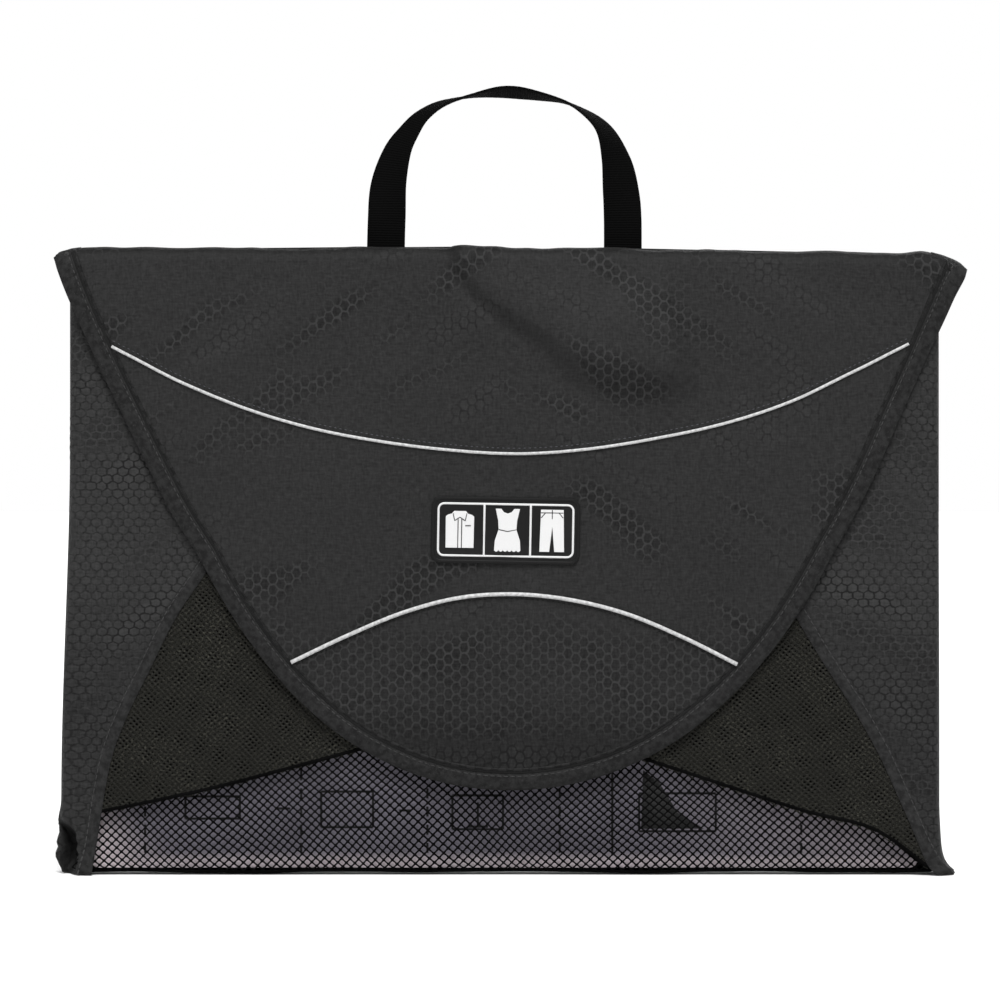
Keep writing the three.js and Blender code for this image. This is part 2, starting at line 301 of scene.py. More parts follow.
def tube_piece(name, points, uv, count, material, closed=False):
    """A tube of count rings of points, with caps on its ends unless it closes on itself."""
    k = len(points) // count
    ring = np.arange(k)
    after = np.roll(ring, -1)
    faces = []
    for i in range(count if closed else count - 1):
        a, b = i * k, (i + 1) % count * k
        faces += [(a + ring[j], a + after[j], b + after[j], b + ring[j]) for j in range(k)]
    if not closed:
        faces += [tuple(ring[::-1]), tuple((count - 1) * k + ring)]
    return fix_direction(new_piece(name, points, faces, uv, material))


def tape_section(width, thickness, softness=5):
    """Flat band with rounded edges, as a closed loop of (across, lift) points."""
    a = np.array([-1, -0.97, -0.88, -0.6, 0, 0.6, 0.88, 0.97, 1.0])
    h = 1 - np.abs(a) ** softness
    h[[0, -1]] = 0.12
    front = np.stack([a * width / 2, h * thickness / 2], 1)
    return np.vstack([front, front[::-1] * [1, -1]])


def round_section(radius, points=10):
    t = np.linspace(0, 2 * math.pi, points, endpoint=False)
    return np.stack([np.cos(t), -np.sin(t)], 1) * radius


def along_surface(name, line, surface, section, lift, material, step=1.8, closed=False):
    """Band or cord that follows a line of the pattern over a surface."""
    line = resample(line, step)
    if closed:
        line = line[:-1]
        normals = left_normals(np.vstack([line[-2:], line, line[:2]]))[2:-2]
    else:
        normals = left_normals(line)
    count = len(line)
    flat = (line[:, None] + normals[:, None] * section[None, :, :1]).reshape(-1, 2)
    points = surface.at(flat, np.tile(section[:, 1], count) + lift)
    uv = np.stack([np.repeat(np.arange(count) * step, len(section)), np.tile(section[:, 0], count)], 1)
    return tube_piece(name, points, uv, count, material, closed)


def stitch_row(name, lines, surface, lift, material, pitch=3.4, length=2.5, radius=0.27):
    """Rows of separate thread stitches that dip into the cloth at both ends."""
    along = np.linspace(-0.5, 0.5, 5)
    swell = np.array([0.55, 0.95, 1.0, 0.95, 0.55])
    arch = np.array([-0.5, 0.05, 0.2, 0.05, -0.5])
    ring = np.linspace(0, 2 * math.pi, 6, endpoint=False)
    sides, rings = len(ring), len(along)
    size = sides * rings
    points, uv, faces = [], [], []
    start = 0
    for line in lines:
        centres = resample(line, pitch)
        side = left_normals(centres)
        ahead = np.stack([side[:, 1], -side[:, 0]], 1)
        flat = (centres[:, None, None] + ahead[:, None, None] * (along * length)[None, :, None, None]
                + side[:, None, None] * (np.cos(ring)[None, :] * swell[:, None] * radius)[None, :, :, None])
        rise = (np.sin(ring)[None, :] * swell[:, None] + arch[:, None]) * radius
        points.append(surface.at(flat.reshape(-1, 2), lift + np.tile(rise.ravel(), len(centres))))
        uv.append(flat.reshape(-1, 2))
        for base in range(start, start + len(centres) * size, size):
            for a in range(base, base + size - sides, sides):
                b = a + sides
                faces += [(a + j, b + j, b + (j + 1) % sides, a + (j + 1) % sides) for j in range(sides)]
            faces += [tuple(base + j for j in range(sides)), tuple(base + size - 1 - j for j in range(sides))]
        start += len(centres) * size
    return fix_direction(new_piece(name, np.vstack(points), faces, np.vstack(uv), material))


def lattice_piece(name, keep, low, high, surface, material, cell,
                  strand, thickness, lift, turn, fine, slack, seed):
    """Knitted mesh cloth: a sheet of diamond cells with a rounded hole in each.
    keep(points) says which cell centres are in the cloth. The holes have eight corners in a
    fine mesh and four otherwise, and slack is how far the cells stray from an even grid."""
    half = np.array(cell) / 2
    spin = np.array([[math.cos(turn), math.sin(turn)], [-math.sin(turn), math.cos(turn)]])
    middle = (np.array(low) + np.array(high)) / 2
    reach = np.abs(np.array(high) - np.array(low)) / 2 + cell[0]
    if turn:
        reach = np.full(2, np.linalg.norm(reach))
    n = np.ceil(reach / half).astype(int)
    i, j = np.meshgrid(np.arange(-n[0], n[0] + 1), np.arange(-n[1], n[1] + 1), indexing="ij")
    even = (i + j) % 2 == 0
    cells = np.stack([i[even], j[even]], 1)
    centres = (cells * half) @ spin + middle
    cells = cells[keep(centres)]

    # Corners and edge middles of each cell on a grid of half steps, shared by its neighbours.
    if fine:
        ring = np.array([(2, 0), (1, 1), (0, 2), (-1, 1), (-2, 0), (-1, -1), (0, -2), (1, -1)])
    else:
        ring = np.array([(2, 0), (0, 2), (-2, 0), (0, -2)])
    k = len(ring)
    keys = (cells[:, None] * 2 + ring[None]).reshape(-1, 2)
    shared, index = np.unique(keys, axis=0, return_inverse=True)
    outer_index = index.reshape(-1, k)
    outer = (shared * half / 2) @ spin + middle

    # The hole keeps half a strand clear of the cell's edge, and its corners are rounded off.
    slope = math.hypot(*half)
    clear = 1 - (strand / 2) * slope / (half[0] * half[1])
    rounding = np.where(np.abs(ring).max(1) == 2, 0.88, 1.0)[:, None]
    hole_shape = ring / 2 * half * clear * rounding
    holes = (cells[:, None] * half + hole_shape[None]).reshape(-1, 2) @ spin + middle

    flat = np.vstack([outer, holes])
    shift = np.stack([ripple(flat, 34, seed), ripple(flat, 34, seed + 1)], 1) * slack
    flat = flat + shift
    crown = np.concatenate([np.full(len(outer), thickness / 2), np.full(len(holes), thickness / 5)])
    count = len(flat)
    front = surface.at(flat, lift + crown)
    back = surface.at(flat, lift - crown)
    faces = []
    for c in range(len(cells)):
        o = outer_index[c]
        h = len(outer) + c * k + np.arange(k)
        for a in range(k):
            b = (a + 1) % k
            faces.append((o[a], o[b], h[b], h[a]))
            faces.append((h[a] + count, h[b] + count, o[b] + count, o[a] + count))
            faces.append((h[a], h[b], h[b] + count, h[a] + count))
    edges = np.stack([outer_index, np.roll(outer_index, -1, 1)], 2).reshape(-1, 2)
    known = set(map(tuple, edges.tolist()))
    faces += [(b, a, a + count, b + count) for a, b in known if (b, a) not in known]
    return new_piece(name, np.vstack([front, back]), faces, np.vstack([flat, flat]), material)


def moulding(name, rings, surface, material):
    """A moulded plate: outlines of equal point count, each with its height, capped at both ends."""
    points = np.vstack([surface.at(outline, np.full(len(outline), height)) for outline, height in rings])
    return tube_piece(name, points, np.vstack([r[0] for r in rings]), len(rings), material)


def rounded_outline(centre, width, height, radius, arc=7):
    out = []
    corners = ((1, -1, -QUARTER), (1, 1, 0), (-1, 1, QUARTER), (-1, -1, math.pi))
    for sx, sz, start in corners:
        t = start + np.linspace(0, QUARTER, arc)
        middle = [centre[0] + sx * (width / 2 - radius), centre[1] + sz * (height / 2 - radius)]
        out.append(np.stack([np.cos(t), np.sin(t)], 1) * radius + middle)
    return np.vstack(out)


def joined(name, pieces):
    """One object from several."""
    bpy.ops.object.select_all(action="DESELECT")
    for piece in pieces:
        piece.select_set(True)
    bpy.context.view_layer.objects.active = pieces[0]
    bpy.ops.object.join()
    pieces[0].name = name + "_sewn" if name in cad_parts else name
    return pieces[0]


# ---------------------------------------------------------------- materials
class Value:
    """A number in a material, which adds, subtracts and multiplies as plain numbers do."""

    def __init__(self, shader, socket):
        self.shader = shader
        self.socket = socket

    def __add__(self, other):
        return self.shader.math("ADD", self, other)

    def __sub__(self, other):
        return self.shader.math("SUBTRACT", self, other)

    def __rsub__(self, other):
        return self.shader.math("SUBTRACT", other, self)

    def __mul__(self, other):
        return self.shader.math("MULTIPLY", self, other)


class Shader:
    """Adds and links the nodes of one material."""

    def __init__(self, name, **settings):
        self.material = bpy.data.materials.new(name)
        self.material.use_nodes = True
        self.tree = self.material.node_tree
        self.surface = self.tree.nodes["Principled BSDF"]
        for socket, value in settings.items():
            self.surface.inputs[socket.replace("_", " ")].default_value = value

    def node(self, kind, **values):
        made = self.tree.nodes.new("ShaderNode" + kind)
        for key, value in values.items():
            setattr(made, key, value)
        return made

    def feed(self, socket, value):
        value = value.socket if isinstance(value, Value) else value
        if isinstance(value, bpy.types.NodeSocket):
            self.tree.links.new(value, socket)
        elif value is not None:
            socket.default_value = value

    def made(self, node, values, out=0):
        """Feeds a node's inputs, by their order or name, and gives its output."""
        for key, value in values.items() if isinstance(values, dict) else enumerate(values):
            self.feed(node.inputs[key], value)
        return Value(self, node.outputs[out])

    def math(self, operation, *values):
        return self.made(self.node("Math", operation=operation), values)

    def vector(self, operation, *values, out=0):
        return self.made(self.node("VectorMath", operation=operation), values, out)

    def pattern(self):
        """The piece's pattern coordinates, in millimetres."""
        uv = self.node("UVMap", uv_map="pattern")
        return self.vector("MULTIPLY", uv.outputs[0], (1 / MM,) * 3)

    def parts(self, vector):
        split = self.node("SeparateXYZ")
        self.feed(split.inputs[0], vector)
        return [Value(self, output) for output in split.outputs]

    def ranged(self, value, low, high, to_low=0.0, to_high=1.0):
        """Goes smoothly from to_low to to_high as the value goes from low to high."""
        node = self.node("MapRange", interpolation_type="SMOOTHSTEP")
        return self.made(node, (value, low, high, to_low, to_high))

    def noise(self, vector, scale, detail=2.0, roughness=0.5, out=0):
        settings = {"Vector": vector, "Scale": scale, "Detail": detail, "Roughness": roughness}
        return self.made(self.node("TexNoise"), settings, out)

    def wave(self, value, pitch):
        return self.math("SINE", value * (2 * math.pi / pitch))

    def mix(self, share, a, b):
        return self.made(self.node("Mix", data_type="RGBA"), {0: share, 6: a, 7: b}, 2)

    def bump(self, height, strength, distance, before=None):
        settings = {"Strength": strength, "Distance": distance * MM, "Height": height, "Normal": before}
        return self.made(self.node("Bump"), settings)

    def finish(self, colour=None, normal=None, roughness=None):
        for socket, value in (("Base Color", colour), ("Normal", normal), ("Roughness", roughness)):
            self.feed(self.surface.inputs[socket], value)
        return self.material


def grey(value, warm=0.0):
    """Linear colour of an 8-bit grey, a little olive if warm."""
    def linear(v):
        v /= 255
        return v / 12.92 if v <= 0.04045 else ((v + 0.055) / 1.055) ** 2.4
    return (linear(value + warm), linear(value + 0.8 * warm), linear(value - warm), 1)


def hex_edge(s, p, across, down, flat_top):
    """How near a point is to its hexagon's outline: 0 in the middle, 0.5 on the outline.
    across and down are the spacings of the hexagons, and flat_top lays them on their side."""
    x, y, _ = s.parts(p)
    if flat_top:
        x, y = y, x
        across, down = down, across
    row = 2 * HEX_ROW
    combined = s.made(s.node("CombineXYZ"), (x * (1 / across) + 500.0, y * (HEX_ROW / down) + 300 * row))
    cell = (1.0, row, 1.0)
    half = (0.5, row / 2, 0.0)
    a = s.vector("SUBTRACT", s.vector("MODULO", combined, cell), half)
    b = s.vector("SUBTRACT", s.vector("MODULO", s.vector("SUBTRACT", combined, half), cell), half)
    nearer = s.math("LESS_THAN", s.vector("DOT_PRODUCT", a, a, out=1), s.vector("DOT_PRODUCT", b, b, out=1))
    choice = s.made(s.node("Mix", data_type="VECTOR"), {0: nearer, 4: b, 5: a}, 1)
    g = s.vector("ABSOLUTE", choice)
    return s.math("MAXIMUM", s.vector("DOT_PRODUCT", g, (0.5, HEX_ROW, 0), out=1), s.parts(g)[0])


def thread_weave(s, p, pitch):
    """Plain weave of fine threads: a height from 0 to 1."""
    x, y, _ = s.parts(p)
    return s.wave(x, pitch) * s.wave(y, pitch) * 0.5 + 0.5


# How far noise moves the hexagons' outlines, from one extreme to the other.
WANDER = 1.5
# Lean of the painted sheen streaks in radians, their scale, and the shift between the two halves.
STREAK_TURN = 0.62
STREAK_SCALE = (0.0135, 0.042, 1.0)
STREAK_SHIFT = (170.0, 0.0, 0.0)
# Distance of the left ear's crease from the middle, on the pattern, where painted shade darkens the wing
# cloth.
EAR_CREASE = 216.0


def ripstop_material(name, tone, across, down, flat_top, spread, bias, relief, low_end=None):
    """Coated nylon with a hexagonal ripstop grid. A painted sheen shows the grid lighter in some streaks and
    darker in others, as if its threads turned to the light: bias favours one of them. Towards low_end
    (clear above, plain below) the painted sheen shows the grid everywhere, and painted shade makes the
    cloth darker there and on its folded top. Without low_end, painted shade darkens the left ear's crease."""
    s = Shader(name, Roughness=0.62, Specular_IOR_Level=0.12, Sheen_Weight=0.02, Sheen_Roughness=0.5)
    p = s.pattern()
    colour = s.noise(p, 0.42, 2.0, out=1)
    wander = s.vector("MULTIPLY", s.vector("SUBTRACT", colour, (0.5,) * 3), (WANDER,) * 3)
    ridge = s.ranged(hex_edge(s, s.vector("ADD", p, wander), across, down, flat_top), 0.37, 0.46)

    # Mirrored, so the painted sheen streaks lean the other way on the other half, and shifted, so the halves
    # differ.
    outward = s.vector("MULTIPLY", s.vector("SIGN", p), STREAK_SHIFT)
    mirrored = s.vector("ADD", s.vector("ABSOLUTE", p), outward)
    rotation = s.node("VectorRotate", rotation_type="Z_AXIS")
    turned = s.made(rotation, {"Vector": mirrored, "Angle": STREAK_TURN})
    # Painted sheen: noise streaks where the grid's outlines show lighter, and others where they show darker,
    # as if its threads turned to the light.
    sheen_streaks = s.noise(s.vector("MULTIPLY", turned, STREAK_SCALE), 1.0, 1.5, 0.4)
    contrast = s.ranged(sheen_streaks, 0.53, 0.66, 0.08, 1.15) + s.ranged(sheen_streaks, 0.44, 0.32, 0.0, -0.6) + bias

    x, height, _ = s.parts(p)
    if low_end:
        clear, plain = low_end
        # Painted sheen: low down the grid shows everywhere, and turns dark where the cloth faces down.
        even = s.ranged(height, clear, clear - 18)
        contrast = contrast * (even * -0.6 + 1.0) + even * 0.72
        contrast = contrast + s.ranged(height, plain + 6, plain - 8, 0.0, -1.3)
        # Painted shade: the cloth is darker towards the bottom, where the flap turns under, and darker on the
        # folded top, against the light falling on it.
        crest_shade = s.ranged(height, TOP - 9, TOP + 1, 0.0, -0.44)
        dim = s.ranged(height, plain + 28, plain - 16, 0.0, -0.32) + crest_shade
    else:
        # Painted shade in the hollow of the left ear's crease, deeper low down.
        beyond = s.math("ABSOLUTE", x + EAR_CREASE)
        crease = s.ranged(beyond, 5.5, 2.5) * s.ranged(height, 30.0, 19.0, 0.0, -0.7)
        dim = s.ranged(height, 170.0, 60.0, -0.06, -0.22) + crease
    broad = s.noise(p, 0.011, 3.0)
    warp, weft = (s.noise(s.vector("MULTIPLY", p, stretch), 1.0, 2.0, 0.6)
                  for stretch in ((0.95, 0.24, 1.0), (0.24, 0.95, 1.0)))
    grain = (warp + weft) * 0.5
    shade = (ridge - 0.38) * contrast * 0.62 + 0.5 + (grain - 0.5) * 1.9 + (broad - 0.5) * 0.25 + dim
    base = s.mix(shade, grey(tone - spread), grey(tone + spread))
    normal = s.bump(ridge, 0.5, relief, s.bump(thread_weave(s, p, 0.62), 0.3, 0.12))
    return s.finish(base, normal, s.ranged(grain, 0.2, 0.8, 0.56, 0.7))


def plain_cloth(name, tone, pitch, strength=0.5, sheen=0.02, rough=0.72, warm=0.0, gloss=0.1):
    """Close woven tape, lining or thread."""
    s = Shader(name, Roughness=rough, Specular_IOR_Level=gloss, Sheen_Weight=sheen, Sheen_Roughness=0.5)
    p = s.pattern()
    broad = s.ranged(s.noise(p, 0.03, 3.0), 0.3, 0.7)
    grain = s.noise(p, 2.4, 2.0)
    base = s.mix(broad, grey(tone - 3, warm), grey(tone + 4, warm))
    base = s.mix(grain * 0.3, base, grey(tone + 14, warm))
    roughness = s.ranged(grain, 0.2, 0.8, rough - 0.08, rough + 0.08)
    return s.finish(base, s.bump(thread_weave(s, p, pitch), strength, 0.15), roughness)


def fleck_cloth(name, tone):
    """Folded ripstop binding: a crumpled weave with pale flecks where the grid crosses it."""
    s = Shader(name, Roughness=0.66, Specular_IOR_Level=0.1, Sheen_Weight=0.02, Sheen_Roughness=0.5)
    p = s.pattern()
    blotch = s.noise(p, 0.32, 3.0, 0.6)
    fleck = s.noise(p, 0.95, 2.0, 0.6)
    base = s.mix(s.ranged(blotch, 0.34, 0.66), grey(tone - 8), grey(tone + 8))
    base = s.mix(s.ranged(fleck, 0.6, 0.74, 0.0, 0.8), base, grey(tone + 24))
    base = s.mix(s.ranged(fleck, 0.4, 0.28, 0.0, 0.6), base, grey(tone - 18))
    weave = s.bump(thread_weave(s, p, 0.8), 0.5, 0.15)
    return s.finish(base, s.bump(blotch, 0.6, 0.5, weave), s.ranged(fleck, 0.2, 0.8, 0.56, 0.74))


def mesh_material(name, tone, gloss=0.0, warm=0.0, painted_glint=0):
    """Knitted mesh yarn; the last argument paints lighter glints on it in patches, a painted highlight."""
    s = Shader(name, Roughness=0.5, Specular_IOR_Level=gloss, Sheen_Roughness=0.4)
    p = s.pattern()
    base = s.mix(s.ranged(s.noise(p, 1.4, 2.0), 0.35, 0.7), grey(tone, warm), grey(tone + 12, warm))
    if painted_glint:
        # Painted highlight: lighter, more olive glints in patches.
        broad = s.ranged(s.noise(p, 0.03, 2.0), 0.35, 0.7, 0.25, 1.0)
        glint_patches = broad * s.ranged(s.noise(p, 0.9, 1.0), 0.5, 0.72)
        base = s.mix(glint_patches, base, grey(tone + painted_glint, 2 * warm))
    return s.finish(base, s.bump(s.noise(p, 4.5, 1.0), 0.5, 0.12))


def webbing_material():
    """Ribbed carrying tape: ribs across its length and a flat selvedge at both edges."""
    s = Shader("handle_webbing_weave", Roughness=0.85, Specular_IOR_Level=0.012)
    p = s.pattern()
    along, across, _ = s.parts(p)
    rib = s.wave(along, 1.25)
    weave = rib * s.math("ABSOLUTE", s.wave(across, 0.9)) * 0.5 + 0.5
    ribs = rib * 0.5 + 0.5
    edge = s.ranged(s.math("ABSOLUTE", across), 7.8, 8.6)
    base = s.mix(ribs * 0.6, grey(5), grey(14))
    base = s.mix(s.noise(p, 0.9, 2.0) * 0.3, base, grey(17))
    return s.finish(base, s.bump((weave + ribs) * (1.0 - edge), 0.45, 0.22))


def rubber_material(name, tone, rough=0.42, gloss=0.22):
    s = Shader(name, Roughness=rough, Specular_IOR_Level=gloss)
    grain = s.noise(s.pattern(), 1.6, 3.0)
    base = s.mix(grain, grey(tone - 4), grey(tone + 8))
    return s.finish(base, s.bump(grain, 0.25, 0.1), s.ranged(grain, 0.3, 0.7, rough - 0.06, rough + 0.08))


def piping_material():
    """Pale cord wrapped in shiny tape, with a faint twist."""
    s = Shader("piping_cover", Roughness=0.45, Specular_IOR_Level=0.4, Sheen_Weight=0.05)
    p = s.pattern()
    x, y, _ = s.parts(p)
    base = s.mix(s.ranged(s.noise(p, 0.6, 2.0), 0.3, 0.7), grey(160), grey(196))
    return s.finish(base, s.bump(s.wave(x + y, 1.1), 0.3, 0.08))


# The board's dark and pale tones are painted shade behind the mesh; its lit and corner-lit tones are painted
# light.
BOARD_DARK_SHADE = (0.125, 0.115, 0.142, 1)
BOARD_PALE_SHADE = (0.185, 0.172, 0.21, 1)
BOARD_LIT = (0.56, 0.49, 0.52, 1)
BOARD_CORNER_LIT = (0.74, 0.65, 0.68, 1)


def board_material():
    """Folding board: lavender plastic, painted lavender-grey as shade behind the mesh, and with painted
    light, paler, where the light comes in under the mesh.
    """
    s = Shader("board_plastic", Roughness=0.5, Specular_IOR_Level=0.35)
    p = s.pattern()
    x, z, _ = s.parts(p)
    # Painted light: paler low down, in the left corner and towards the right.
    low = s.ranged(z, BOARD_LOW[2] + 3, BOARD_LOW[2] + 9, 1.0, 0.0)
    corner = s.ranged(x + z * 0.9, -196.0, -150.0, 1.0, 0.0)
    right = s.ranged(x, 45.0, 190.0, 0.0, 0.35)
    painted_light = s.math("MAXIMUM", s.math("MAXIMUM", low * 0.8, corner), right)
    base = s.mix(s.ranged(s.noise(p, 0.014, 3.0), 0.3, 0.7), BOARD_DARK_SHADE, BOARD_PALE_SHADE)
    tint = s.mix(painted_light, base, s.mix(corner, BOARD_LIT, BOARD_CORNER_LIT))
    fine = s.noise(p, 1.2, 2.0)
    return s.finish(tint, s.bump(fine, 0.15, 0.1), s.ranged(fine, 0.3, 0.7, 0.42, 0.58))


def fastener_material(name, hooked):
    """Hook-and-loop tape: a grid of small hooks, or a felt of loops."""
    s = Shader(name, Roughness=0.85, Specular_IOR_Level=0.1, Sheen_Weight=0.05, Sheen_Roughness=0.6)
    p = s.pattern()
    height = s.ranged(thread_weave(s, p, 1.5), 0.55, 0.9) if hooked else s.noise(p, 2.2, 4.0, 0.7)
    return s.finish(s.mix(height, grey(13), grey(34)), s.bump(height, 0.9, 0.5))


FLAP_CLOTH = ripstop_material("flap_ripstop", 31, 3.93, 5.7, True, 16, 0.0, 0.14, (128, 66))
WING_CLOTH = ripstop_material("wing_ripstop", 35, 5.3, 3.6, False, 18, -0.6, -0.25)
BINDING = fleck_cloth("binding_twill", 29)
SEAM_TAPE = fleck_cloth("seam_tape", 33)
THREAD = plain_cloth("thread", 53, 0.4, 0.3, 0.02, 0.55)
THREAD_DARK = plain_cloth("thread_dark", 24, 0.4, 0.3, 0.0, 0.7, 0.0, 0.05)
PIPING_THREAD = plain_cloth("piping_thread", 74, 0.4, 0.3, 0.0, 0.7, -2.0, 0.05)
MESH_YARN = mesh_material("mesh_yarn", 5)
WING_YARN = mesh_material("wing_mesh_yarn", 16, 0.1, 1.8, 34)
WING_LINING = plain_cloth("wing_lining", 3, 0.9, 0.8, 0.0, 0.7, 0.5, 0.02)
HEM_CLOTH = plain_cloth("hem_tape", 7, 0.7, 0.5, 0.0, 0.8, 0.0, 0.0)
WEBBING = webbing_material()
RUBBER = rubber_material("patch_rubber", 19, 0.5, 0.12)
RUBBER_FIELD = rubber_material("patch_field_rubber", 27, 0.6, 0.08)
WHITE_RUBBER = rubber_material("patch_white", 205, 0.5)
PIPING = piping_material()
BOARD_PLASTIC = board_material()
PRINT_INK = rubber_material("board_print", 34, 0.7, 0.1)
PRINT_TINT = rubber_material("board_print_tint", 52, 0.7, 0.1)
HOOKS = fastener_material("hook_tape", True)
LOOPS = fastener_material("loop_tape", False)


# ---------------------------------------------------------------- the folder's surfaces
def around(along, start, first, straight, second):
    """A sheet that runs to start, bends a quarter turn, runs straight, and bends back."""
    ahead, side = turn_corner(along, start, first)
    more = np.maximum(along - start - first * QUARTER - straight, 0)
    turn = np.minimum(more / second, QUARTER)
    beyond = np.maximum(more - second * QUARTER, 0)
    return ahead - second * (1 - np.cos(turn)) - beyond, side + second * np.sin(turn) - more


BACK_SHEET = 1.0
TOP_ROUND = 7.0
SIDE_ROUND = 5.0
BOTTOM_ROUND = 5.0
TUCK_ROUND = 2.5
FLAP_MIDDLE = FLAP_DEPTH - 0.5
WING_MIDDLE = WING_DEPTH - 0.5
BOTTOM_MIDDLE = BOTTOM_DEPTH - 0.45


def straight_run(front, first):
    """Length of a fold's straight side between its two bends."""
    return front - BACK_SHEET - 0.6 - first - TUCK_ROUND


def crest_drop(x):
    """How far the folded top edge hangs below its highest line."""
    left = 0.5 * smoothstep(-x, 150, 205) + 3.0 * smoothstep(-x, 204, 224)
    right = 1.5 * smoothstep(x, 45, 90) + 1.6 * smoothstep(x, 150, 212) + 7.0 * smoothstep(x, 206, 230)
    wave = 0.35 * np.sin(x / 21 + 0.6) + 0.25 * np.sin(x / 9.3) + 0.18 * np.sin(x / 3.3 + 2 * np.sin(x / 17))
    return left + right + wave - 0.5


def hang(x, z):
    return crest_drop(x) * smoothstep(z, TOP - 90, TOP)


def flap_base(p):
    x, s = p[:, 0], p[:, 1]
    up, back = around(s, TOP - TOP_ROUND, TOP_ROUND, straight_run(FLAP_MIDDLE, TOP_ROUND), TUCK_ROUND)
    return in_space(x, FLAP_MIDDLE - back, up - hang(x, s))


def groove(p, line, width, depth):
    """A soft dent along a line."""
    return -depth * np.exp(-(distance_to(p, np.array(line, float)) / width) ** 2)


FOLD_LINE = curve([(-25, 309), (-22, 295), (-11.5, 283), (6, 270.5), (21.5, 260), (36, 249), (52, 242.5),
                   (80, 240), (102, 244)], 48)


def flap_relief(p):
    x, s = p[:, 0], p[:, 1]
    face = smoothstep(s, TOP + 2, TOP - 26)
    swell = 1.4 * np.exp(-(x / 130) ** 2 - ((s - 215) / 90) ** 2)
    tuck = -2.6 * smoothstep(s, 74, 36)
    rolls = 0.75 * ripple(p, 70, 11) + 0.34 * ripple(p, 26, 12) + 0.1 * ripple(p, 9, 13)
    past, share = past_line(p, FOLD_LINE)
    width = 2.4 + 7.0 * smoothstep(share, 0.15, 0.75)
    rise = (3.8 + 4.8 * smoothstep(share, 0.15, 0.7)) * smoothstep(share, 1.0, 0.88) * smoothstep(s, 314, 303)
    fold = rise * smoothstep(past, -width, width) * smoothstep(past, width + 62, width)
    crease = groove(p, [(66, 296), (73, 284), (79, 273)], 3.0, 0.5) + groove(p, FOLD_LINE[4:24], 4.5, 1.8)
    second = (s - 262) - 0.6 * (x + 120)
    slack = 0.8 * np.exp(-(second / 8) ** 2) * smoothstep(x, -180, -150) * smoothstep(x, -95, -118)
    tips = 2.2 * smoothstep(np.abs(x), 188, 222) * smoothstep(s, TOP - 60, TOP - 12)
    return face * (swell + tuck + rolls + crease + slack) + fold + tips * 0.7


def edge_out(x, z):
    """How far the side folds stand out from the straight sides, at each height."""
    left = -0.5 + 4.4 * smoothstep(z, 215, 35) + 2.6 * smoothstep(z, 26, 7) - 2.0 * smoothstep(z, 5, -1)
    left = left + 1.7 * np.exp(-((z - 24) / 6) ** 2)
    right = -0.1 + 0.3 * smoothstep(z, 190, 60) + 0.5 * smoothstep(z, 34, 14)
    right = right + 7.4 * np.exp(-np.maximum(z + 0.7, 0) / 5)
    return np.where(x < 0, left, right)


EAR_START = 207.5
EAR_END = 242.0
EAR_PATH = [(207.5, 0), (210.6, 0.4), (211.8, 2.8), (210.6, 7.4), (210.8, 12.2), (213.4, 14.6), (216.4, 13.2),
            (218.2, 9.4), (219.8, 6.6), (221.9, 6.4), (222.6, 9.6),
            (221.2, 14), (217, 17), (211, 18.6), (200, 19.0)]


def wing_base(p):
    x, z = p[:, 0], p[:, 1]
    side = np.sign(x)
    u = np.abs(x)
    run = straight_run(WING_MIDDLE, SIDE_ROUND)
    out, back = around(u, HALF_WIDTH - SIDE_ROUND, SIDE_ROUND, run, TUCK_ROUND)
    past = u - HALF_WIDTH - 2.8
    belly = np.sin(np.clip(past / run, 0, 1) * math.pi)
    share = smoothstep(u, 206.5, 217) * (1 - smoothstep(past, run * 0.55, run + 2))
    out = out + edge_out(x, z) * share + belly * 0.8

    # Low on the left the side fold opens into an ear: a deep crease with a lip behind it.
    path = resample(curve(EAR_PATH, 120), 0.25)
    t = np.clip((u - EAR_START) / (EAR_END - EAR_START), 0, 1) * (len(path) - 1)
    ear_out = np.interp(t, np.arange(len(path)), path[:, 0]) + (u < EAR_START) * (u - EAR_START)
    ear_back = np.interp(t, np.arange(len(path)), path[:, 1])
    pinch = 1 - 0.55 * smoothstep(z, 7, -2)
    ear = np.where(x < 0, smoothstep(z, 30, 13), 0.0) * pinch
    bulge = 2.4 * np.exp(-((z - 8.6) / 4) ** 2) - 0.9
    crumple = (0.7 * np.sin(z / 1.9) + 0.5 * np.sin(z / 1.15 + 1) + bulge) * smoothstep(u, 217, 224) * ear
    lip = 1.5 * np.exp(-((z - 21) / 4.5) ** 2) * smoothstep(u, 214, 221) * (x < 0)
    out = out + (ear_out - out) * ear + crumple + lip
    back = back + (ear_back - back) * ear
    drop = hang(x, z) * smoothstep(u, 190, 214) + 1.1 * ear * smoothstep(z, 12, 0) * smoothstep(u, 212, 220)
    return in_space(side * out, WING_MIDDLE - back, z - drop)


def wing_relief(p):
    x, z = p[:, 0], p[:, 1]
    u = np.abs(x)
    shown = smoothstep(u, 110, 165)
    rolls = 0.5 * ripple(p, 60, 21) + 0.28 * ripple(p, 24, 22) + 0.08 * ripple(p, 8, 23)
    upright = np.sin(x / 7.5 + 0.9 * np.sin(z / 38)) * 0.22 * smoothstep(u, 168, 196) * smoothstep(z, 150, 60)
    return shown * (0.3 + rolls + upright) * smoothstep(u, HALF_WIDTH + 6, HALF_WIDTH - 2)


def bottom_base(p):
    x, s = p[:, 0], p[:, 1]
    run = straight_run(BOTTOM_MIDDLE, BOTTOM_ROUND)
    down, back = around(-s, -BOTTOM_ROUND, BOTTOM_ROUND, run, TUCK_ROUND)
    sag = 0.12 * np.sin(x / 17) - 0.75
    return in_space(x, BOTTOM_MIDDLE - back, -down + sag * smoothstep(s, 40, 4))


